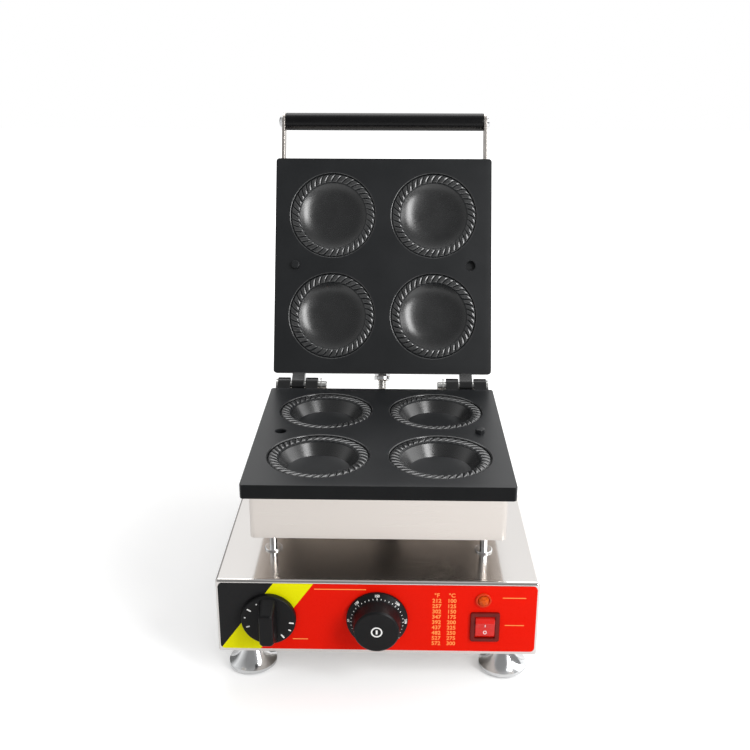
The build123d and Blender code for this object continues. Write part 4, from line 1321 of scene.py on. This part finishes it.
@dataclass
class RockerSwitch:
    """Rocker switch: a bezel with its case and a red button with I and O."""

    layout: Layout
    x: float = 83.6
    drop: float = 38.2
    bezel: float = 2.0
    proud: float = 0.6
    pivot: float = 3.0
    half: float = 9.3
    width: float = 15.0
    travel: float = 16.0
    mark: float = 0.06

    def housing(self) -> Mesh:
        """Case behind the panel, bezel in front, and the well for the button.

        Returns:
            The closed mesh, in millimetres.
        """
        case = rounded_rectangle(19.4, 22.0, 0.6)
        rim = rounded_rectangle(22.7, 25.8, 2.0)
        mouth = rounded_rectangle(self.width + 0.7, 2 * self.half + 0.7, 0.5)
        face = PANEL + self.bezel
        levels = [
            (case, -17.0), (case, PANEL), (rim, PANEL), (rim, face - 0.9),
            (inset(rim, 0.12), face - 0.45), (inset(rim, 0.4), face - 0.14),
            (inset(rim, 0.9), face), (inset(mouth, -0.5), face),
            (inset(mouth, -0.15), face - 0.12), (mouth, face - 0.5), (mouth, -9.6),
        ]
        return shell([level(outline, z) for outline, z in levels])

    def button_outline(self) -> Outline:
        """Side view of the button: Y is up and X is out of the panel, the pivot at the origin.

        Returns:
            The anticlockwise outline.
        """
        face = PANEL + self.bezel + self.proud + self.pivot
        low = math.sqrt(self.half**2 - face**2)
        slope = math.tan(math.radians(self.travel))
        a, b, c = 1 + slope**2, 2 * face * slope, face**2 - self.half**2
        high = (-b + math.sqrt(b * b - 4 * a * c)) / (2 * a)
        crest = face + high * slope
        first, last = math.atan2(-low, face), math.atan2(high, crest)
        back, steps = math.acos(-0.5 / self.half), 14
        points: Outline = [(face, -low), (face, -0.3), (face + 0.05, 0.3), (crest, high)]
        turns = [last + (back - last) * k / steps for k in range(1, steps + 1)]
        turns += [-back + (back + first) * k / steps for k in range(steps)]
        return points + [(self.half * math.cos(t), self.half * math.sin(t)) for t in turns]

    def build(self) -> None:
        """Makes the housing, the button and its marks."""
        place = self.layout.control(self.x, self.drop)
        Piece(
            "rocker_bezel", self.housing(), [SWITCH_BLACK], "base", "switch_black", place,
            ["rocker_housing"],
        ).build()
        button = bar(self.button_outline(), -self.width / 2, self.width / 2, 0.5)
        # the outline's X runs out of the panel, its Y up and its length across
        button.transform(Matrix(((0, 0, 1, 0), (0, 1, 0, 0), (1, 0, 0, -self.pivot), (0, 0, 0, 1))))
        Piece(
            "rocker_red_button", button, [SWITCH_RED], "rocker", "switch_red", place,
            ["rocker_button"],
        ).build()
        face = PANEL + self.bezel + self.proud
        off = hoop([(1.05, 0), (1.6, 0), (1.6, self.mark), (1.05, self.mark)], 32)
        narrow = Matrix.Diagonal((0.85, 1, 1, 1))
        on = bar(rounded_rectangle(0.55, 2.6, 0.15, 3), 0.0, self.mark, 0.02)
        rise = 2.6
        out = face + rise * math.tan(math.radians(self.travel))
        parts = [
            (off, shift(0, -3.7, face) @ narrow),
            (on, shift(0, rise, out) @ spin(self.travel, "X")),
        ]
        Piece(
            "rocker_marks", gather(parts), [INK_WHITE], "rocker", "switch_red", place
        ).build()


@dataclass
class PilotLamp:
    """Pilot lamp: a flanged rim with a cut lens."""

    layout: Layout
    x: float = 81.8
    drop: float = 14.4
    rim: Sequence[Point2] = (
        (0, -20), (4.9, -20), (4.9, PANEL), (6.0, PANEL), (6.0, 2.4), (4.6, 2.4), (4.2, 1.4),
        (0, 1.4),
    )
    lens: Sequence[Point2] = (
        (0, 1.0), (4.1, 1.0), (4.1, 2.9), (3.5, 4.0), (2.2, 4.7), (0.9, 5.0), (0, 5.0)
    )
    facets: int = 12

    def build(self) -> None:
        """Makes the rim and the lens."""
        place = self.layout.control(self.x, self.drop)
        rim = turned(softened(self.rim, [0.2, 0.1, 0.15, 0.5, 0.3, 0.2], 4), 64)
        Piece(
            "lamp_rim", rim, [LAMP_RIM], "base", "lamp_orange", place, ["lamp_body"]
        ).build()
        Piece(
            "lamp_cut_lens", turned(self.lens, self.facets), [LAMP_AMBER], "base", "lamp_amber",
            place, ["lamp_lens"], 5.0,
        ).build()


@dataclass
class BellFoot:
    """Chromed bell foot with its levelling stud."""

    spot: str
    seat: Sequence[Point2] = ((0, 4.0), (16.6, 4.0), (16.6, 1.6), (18.5, 1.6), (19.3, 2.4))
    flare: Sequence[Point2] = ((19.3, 5.0), (12.4, 9.6), (7.8, 21.5))
    neck: Sequence[Point2] = ((7.8, 28.8), (7.2, 29.4), (4.0, 29.4), (4.0, 38.4), (0, 38.4))

    def build(self) -> None:
        """Turns the foot on its own axis."""
        low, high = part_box(f"foot_{self.spot}")
        start, bend, end = (Vector(point) for point in self.flare)
        curve = []
        for k in range(12):
            t = k / 12
            point = start * (1 - t) ** 2 + bend * (2 * t * (1 - t)) + end * t**2
            curve.append((point.x, point.y))
        Piece(
            f"bell_foot_{self.spot}", turned([*self.seat, *curve, self.flare[-1], *self.neck], 96),
            [CHROME], f"foot_{self.spot}", "chrome",
            shift((low.x + high.x) / 2, (low.y + high.y) / 2), [f"foot_{self.spot}"],
        ).build()


@dataclass
class RingWashers:
    """Round-edged washers where the four rods meet the cabinet's top."""

    layout: Layout
    bore: float = 3.1
    radius: float = 7.2
    thick: float = 1.6

    def build(self) -> None:
        """Turns the four washers."""
        corners = [
            (self.bore, 0.0), (self.radius, 0.0), (self.radius, self.thick), (self.bore, self.thick)
        ]
        section = softened([*corners, corners[0]], [0.7, 0.85, 0.3], 6)[:-1]
        x, y = ROD_REACH
        spots = [(side * x, end * y) for side in (-1, 1) for end in (-1, 1)]
        Piece(
            "rod_ring_washers", gather((hoop(section, 64), shift(*spot)) for spot in spots),
            [CHROME], "base", "chrome", shift(0, self.layout.middle, self.layout.top),
            ["rod_washers"],
        ).build()


@dataclass(frozen=True)
class SocketScrew:
    """Domed screw with a six-sided socket, its head's seat at Z = 0."""

    radius: float
    height: float
    key: float
    length: float
    shank: float = 2.5
    sides: int = 48

    def mesh(self) -> Mesh:
        """Skins the shank, the domed head and its socket.

        Returns:
            The closed mesh, in millimetres.
        """
        hexagon = []
        for x, y in circle(1.0, self.sides):
            angle = math.atan2(y, x) % (math.pi / 3) - math.pi / 6
            reach = self.key * math.cos(math.pi / 6) / math.cos(angle)
            hexagon.append((x * reach, y * reach))
        sizes = [(self.shank, -self.length), (self.shank, 0.0), (self.radius, 0.0)]
        sizes.append((self.radius, self.height * 0.25))
        for t in (0.25, 0.5, 0.75, 1.0):
            spread = self.radius + (self.key * 1.25 - self.radius) * t
            sizes.append((spread, self.height * (0.25 + 0.75 * math.sin(t * math.pi / 2))))
        rings = [level(circle(radius, self.sides), z) for radius, z in sizes]
        rings += [level(hexagon, self.height), level(hexagon, self.height * 0.35)]
        return shell(rings)


@dataclass
class Handle:
    """Grip bar on two flat arms, with its screws and those of the cover."""

    layout: Layout
    reach: float = 152.0
    root: float = 24.0
    drop: float = 27.0
    half: float = 101.0
    arm: float = 3.0
    arm_width: float = 17.96
    radius: float = 8.75
    arm_screw_y: Point2 = (-70.0, -34.0)
    end_screw: SocketScrew = SocketScrew(6.0, 3.4, 2.2, 14.0)
    arm_screw: SocketScrew = SocketScrew(4.6, 2.6, 1.7, 10.0)
    cover_screw: SocketScrew = SocketScrew(5.2, 2.6, 2.0, 34.0, 3.0)

    def grip(self) -> Mesh:
        """The round grip bar.

        Returns:
            The closed mesh, in millimetres.
        """
        half, radius = self.half, self.radius
        profile = [(0, -half), (radius, -half), (radius, half), (0, half)]
        grip = turned(softened(profile, [1.4, 1.4], 6), 72)
        grip.transform(shift(0, -self.reach, -self.drop) @ spin(90, "Y"))
        return grip

    def flat_arm(self, side: int) -> Mesh:
        """One flat arm; the lid's own +X is to the left of the open lid.

        Args:
            side: 1 or -1, along the lid's own X.

        Returns:
            The closed mesh, in millimetres.
        """
        length = self.reach - self.root + self.arm_width
        low = min(side * self.half, side * (self.half + self.arm))
        flat = across(bar(slot_outline(length, self.arm_width), low, low + self.arm, 0.45))
        # the slot runs along its Y, which across() turns to Z
        flat.transform(shift(0, -(self.reach + self.root) / 2, -self.drop) @ spin(90, "X"))
        return flat

    def build(self) -> None:
        """Makes the grip, the arms and the screws of the lid."""
        lid = self.layout.lid
        Piece(
            "black_handle_grip", self.grip(), [GRIP_BLACK], "lid", "grip_black", lid,
            ["handle_grip"],
        ).build()
        for side, name in ((1, "left"), (-1, "right")):
            Piece(
                f"steel_handle_arm_{name}", self.flat_arm(side), [STAINLESS], "lid", "stainless",
                lid, [f"handle_arm_{name}"],
            ).build()
        ends, sides = [], []
        for side in (1, -1):
            face, turn = side * (self.half + self.arm), spin(90 * side, "Y")
            ends.append((self.end_screw.mesh(), shift(face, -self.reach, -self.drop) @ turn))
            for y in self.arm_screw_y:
                sides.append((self.arm_screw.mesh(), shift(face, y, -self.drop) @ turn))
        x, y = ROD_REACH
        corners = [(side * x, end * y) for side in (-1, 1) for end in (-1, 1)]
        back = shift(0, 0, -PLATE_THICK - COVER_DEPTH) @ spin(180, "X")
        covers = [(self.cover_screw.mesh(), shift(a, b) @ back) for a, b in corners]
        for name, heads, node in (
            ("handle_end_screws", ends, "handle_screws"),
            ("arm_side_screws", sides, "arm_screws"),
            ("cover_back_screws", covers, "cover_screws"),
        ):
            Piece(name, gather(heads), [CHROME], "lid", "chrome", lid, [node]).build()


@dataclass
class Conduit:
    """Ribbed conduit from the lid's gland down through the bushing."""

    layout: Layout
    radius: float = 4.0
    groove: float = 0.45
    rib: float = 2.4
    sides: int = 28
    behind: float = 28.0
    gland_y: float = 98.0
    bend_y: float = 108.0
    knee_y: float = 142.0
    dip: float = 24.0
    turn: float = 30.0
    end: float = 80.0
    floor: float = 9.6
    sleeve: Sequence[Point2] = (
        (4.2, 108.0), (7.8, 108.0), (8.4, 108.8), (8.4, 112.0), (6.0, 113.6), (4.2, 113.6)
    )

    def lid_point(self, y: float) -> Vector:
        """A point of the gland's axis in metres, from its Y in the lid in millimetres."""
        return self.layout.lid @ Vector((0, y * MM, -self.behind * MM))

    def route(self) -> list[Vector]:
        """Points of the conduit's smooth line, in metres.

        Returns:
            The points, from the lid down.
        """
        knee = self.lid_point(self.knee_y)
        top, low = self.layout.top, self.layout.bottom + self.floor * MM
        controls = [
            self.lid_point(self.gland_y),
            knee,
            Vector((0, knee.y, top - self.dip * MM)),
            Vector((0, knee.y - self.turn * MM, low)),
            Vector((0, knee.y - self.end * MM, low)),
        ]
        curve = bpy.data.curves.new("conduit_line", "CURVE")
        curve.dimensions = "3D"
        spline = curve.splines.new("NURBS")
        spline.points.add(len(controls) - 1)
        for point, place in zip(spline.points, controls):
            point.co = (*place, 1)
        spline.order_u = 3
        spline.use_endpoint_u = True
        spline.resolution_u = 24
        holder = placed("conduit_line", curve)
        line = evaluated(holder)
        points = [vertex.co.copy() for vertex in line.vertices]
        bpy.data.objects.remove(holder)
        bpy.data.curves.remove(curve)
        bpy.data.meshes.remove(line)
        return points

    def ribbed_tube(self) -> Mesh:
        """Sweeps the ribs along the line.

        Returns:
            The closed mesh, in millimetres.
        """
        line = self.route()
        lengths = [0.0]
        for before, after in zip(line, line[1:]):
            lengths.append(lengths[-1] + (after - before).length)
        depths = (0.0, 0.12, 1.0, 0.12)
        step = self.rib * MM / len(depths)
        across_line = Vector((1, 0, 0))
        rings = []
        part = 0
        for k in range(int(lengths[-1] / step) + 1):
            here = k * step
            while part < len(line) - 2 and lengths[part + 1] < here:
                part += 1
            run = line[part + 1] - line[part]
            centre = line[part] + run * ((here - lengths[part]) / max(run.length, 1e-9))
            ahead = line[min(part + 2, len(line) - 1)] - line[max(part - 1, 0)]
            rise = across_line.cross(ahead.normalized())
            radius = self.radius - self.groove * depths[k % len(depths)]
            ring = circle(radius, self.sides)
            rings.append([centre / MM + across_line * x + rise * y for x, y in ring])
        return shell(rings)

    def build(self) -> None:
        """Makes the conduit, routed for the open lid, and its end sleeve."""
        conduit = Piece(
            "ribbed_heater_conduit", self.ribbed_tube(), [CONDUIT], "base and lid",
            "conduit_steel", stands_for=["heater_conduit"], crease=75.0,
        ).build(rides=False)
        collar = hoop(softened(self.sleeve, [0.2, 0.3, 1.2, 0.5]), 48)
        # its axis is turned from Z to the lid's Y
        collar.transform(shift(0, 0, -self.behind) @ spin(-90, "X"))
        Piece(
            "conduit_end_sleeve", collar, [CHROME], "lid", "chrome", self.layout.lid
        ).build()
        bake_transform(conduit)


def dress_frame() -> None:
    """Gives every CAD node its own finish, or that of its material slot."""
    slots = {row["node"]: row["material_slot"] for row in frame["record"]["subparts"]}
    for name, node in frame["nodes"].items():
        finish = NODE_FINISHES.get(name, SLOT_FINISHES[slots[name]])
        node.data.materials.clear()
        node.data.materials.append(finish.material())


@dataclass
class Studio:
    """Pale floor, white surroundings, soft lamps and the camera."""

    floor_size: float = 8.0
    floor_tints: tuple[Colour, Colour] = ((0.79, 0.79, 0.79), (0.81, 0.81, 0.81))
    floor_glow: Point2 = (0.3, 1.0)
    glow_reach: Point2 = (0.3, 1.6)
    ambient: float = 0.62
    # each darker part of the room: where it is, how near it starts and is full, its light
    shades: Sequence[tuple[Point3, float, float, float]] = (
        ((-0.20, -0.82, 0.53), 0.15, 0.90, 0.25),
        ((-0.75, 0.65, 0.05), 0.75, 0.95, 0.15),
        ((0.97, 0.0, 0.15), 0.50, 0.95, 0.25),
    )
    # each lamp's name, place, size and power in watts
    lamps: Sequence[tuple[str, Point3, Point2, float]] = (
        ("key_lamp", (0.90, -0.98, 0.85), (0.42, 0.95), 14.0),
        ("side_lamp", (1.22, -0.06, 0.74), (1.3, 0.5), 5.0),
        ("rear_side_lamp", (1.0, 0.88, 0.45), (1.2, 0.8), 1.7),
        ("rear_top_lamp", (-0.1, 0.85, 1.62), (1.3, 0.95), 9.0),
    )
    target: Point3 = (0, 0, 0.16)
    eye: Point3 = (0.01095, -0.84444, 0.49818)
    yaw: float = -1.118
    pitch: float = 19.738
    roll: float = 0.089
    lens: float = 47.54
    sensor: float = 36.0

    def floor(self) -> None:
        """White floor that keeps the object's shadow."""
        half = self.floor_size / 2
        mesh = bmesh.new()
        corners = ((-half, -half), (half, -half), (half, half), (-half, half))
        mesh.faces.new([mesh.verts.new(corner) for corner in level(corners, 0)])
        data = bpy.data.meshes.new("studio_floor")
        mesh.to_mesh(data)
        mesh.free()
        bench = Bench("studio_floor_white")
        inputs = bench.shader.inputs
        bench.feed(bench.tint(bench.noise(3.0), *self.floor_tints), inputs["Base Color"])
        inputs["Roughness"].default_value = 0.9
        inputs["Specular IOR Level"].default_value = 0.0
        # the floor looks white away from the object and keeps its shadow near it
        reach = bench.node("VectorMath", "LENGTH")
        bench.feed(bench.place.outputs["Object"], reach.inputs[0])
        glow = bench.remap(reach.outputs["Value"], self.glow_reach, self.floor_glow)
        seen = bench.node("LightPath").outputs["Is Camera Ray"]
        inputs["Emission Color"].default_value = (1, 1, 1, 1)
        bench.feed(bench.maths("MULTIPLY", seen, glow), inputs["Emission Strength"])
        data.materials.append(bench.material)
        placed("studio_floor", data)

    def world(self) -> None:
        """White to look at, and a softer light on the object."""
        world = bpy.data.worlds.new("studio_world")
        bpy.context.scene.world = world
        wiring = Wiring(world)
        rays = wiring.node("LightPath").outputs
        mirrored = wiring.maths("MAXIMUM", rays["Is Glossy Ray"], rays["Is Transmission Ray"])
        # a mirror sees white all round, but for the darker parts of the room
        place = wiring.node("TexCoord").outputs["Generated"]
        room: Socket | float = 1.0
        for direction, first, last, low in self.shades:
            toward = wiring.node("VectorMath", "DOT_PRODUCT")
            toward.inputs[1].default_value = Vector(direction).normalized()
            wiring.feed(place, toward.inputs[0])
            fade = wiring.remap(toward.outputs["Value"], (first, last), (1.0, low))
            room = wiring.maths("MULTIPLY", fade, room)
        light = wiring.mix(mirrored, self.ambient, room)
        sky = wiring.node("Background")
        sky.inputs["Color"].default_value = (1, 1, 1, 1)
        wiring.feed(wiring.maths("MAXIMUM", rays["Is Camera Ray"], light), sky.inputs["Strength"])
        wiring.feed(sky.outputs[0], wiring.node("OutputWorld").inputs["Surface"])

    def lamp(self, name: str, place: Point3, size: Point2, power: float) -> None:
        """One soft lamp that looks at the object.

        Args:
            name: The lamp's name.
            place: Where it stands.
            size: Its width and height.
            power: Its power in watts.
        """
        data = bpy.data.lights.new(name, "AREA")
        data.shape = "RECTANGLE"
        data.size, data.size_y = size
        data.energy = power
        made = placed(name, data)
        made.location = place
        aim = Vector(self.target) - Vector(place)
        made.rotation_euler = aim.to_track_quat("-Z", "Y").to_euler()

    def camera(self) -> None:
        """Camera at the photograph's place, with its field of view."""
        yaw, pitch, roll = (math.radians(a) for a in (self.yaw, self.pitch, self.roll))
        ahead = Vector(
            (math.sin(yaw) * math.cos(pitch), math.cos(yaw) * math.cos(pitch), -math.sin(pitch))
        )
        straight = Vector((math.cos(yaw), -math.sin(yaw), 0))
        upright = straight.cross(ahead)
        right = straight * math.cos(roll) + upright * math.sin(roll)
        up = upright * math.cos(roll) - straight * math.sin(roll)
        data = bpy.data.cameras.new("photo_camera")
        data.sensor_width = self.sensor
        data.lens = self.lens
        data.clip_start, data.clip_end = 0.01, 50.0
        made = placed("photo_camera", data)
        turn = Matrix((right, up, -ahead)).transposed().to_4x4()
        made.matrix_world = shift(*self.eye) @ turn
        bpy.context.scene.camera = made

    def build(self) -> None:
        """Sets up the whole studio."""
        self.floor()
        self.world()
        for lamp in self.lamps:
            self.lamp(*lamp)
        self.camera()
        bpy.context.scene.view_settings.view_transform = "Standard"


def heel_outline() -> Outline:
    """Side view of the stop heel on the lid's lugs, in Y and Z of the lid's own frame.

    Returns:
        The anticlockwise outline, in millimetres.
    """
    corners = [(-11.7, -3.0), (-11.7, -10.0), (-6.0, -10.0), (0.0, -6.0), (-6.0, 0.0)]
    points = []
    for y, z in corners:
        reach = math.hypot(y, z)
        angle = math.atan2(z, y) + math.radians(OPENING)
        rise = PLATE_GAP + PIN_RISE - reach * math.sin(angle)
        points.append((PIN_Y + reach * math.cos(angle), rise))
    return convex_hull(points)


def mirrored(*spans: Point2) -> list[Point2]:
    """Spans on the right and their mirror images on the left."""
    return [*spans, *((-high, -low) for low, high in spans)]


def main() -> None:
    """Builds the studio and every piece, and reports each piece."""
    logging.basicConfig(level=logging.INFO, format="%(message)s")
    layout = Layout.read()
    Studio().build()
    dress_frame()
    cup = ((0, -13.0), (25.0, -13.0), (MOULD_RADIUS, -RING_SEAT))
    dish_depth, steps = 7.8, 16
    dish = [
        (MOULD_RADIUS * k / steps, -dish_depth + (dish_depth - RING_SEAT) * (k / steps) ** 3.8)
        for k in range(steps + 1)
    ]
    lower_lugs, lid_lugs = mirrored((89.5, 101.5), (62.5, 74.5)), mirrored((76.0, 88.0))
    assemblies = [
        MouldPlate(
            "lower", "base", layout.lower(), cup, (2.0, 0.4), lower_lugs, pin_z=-PIN_RISE,
            lug_top=-5.0,
        ),
        MouldPlate(
            "lid", "lid", layout.lid, dish, [0.0] * (steps - 1) + [0.4], lid_lugs,
            pin_z=PLATE_GAP + PIN_RISE, lug_top=-1.5, heel=heel_outline(),
        ),
        Fascia(layout),
        TimerKnob(layout),
        ThermostatKnob(layout),
        RockerSwitch(layout),
        PilotLamp(layout),
        *(BellFoot(f"{end}_{side}") for end in ("front", "rear") for side in ("left", "right")),
        RingWashers(layout),
        Handle(layout),
        Conduit(layout),
    ]
    for assembly in assemblies:
        assembly.build()


if __name__ == "__main__":
    main()
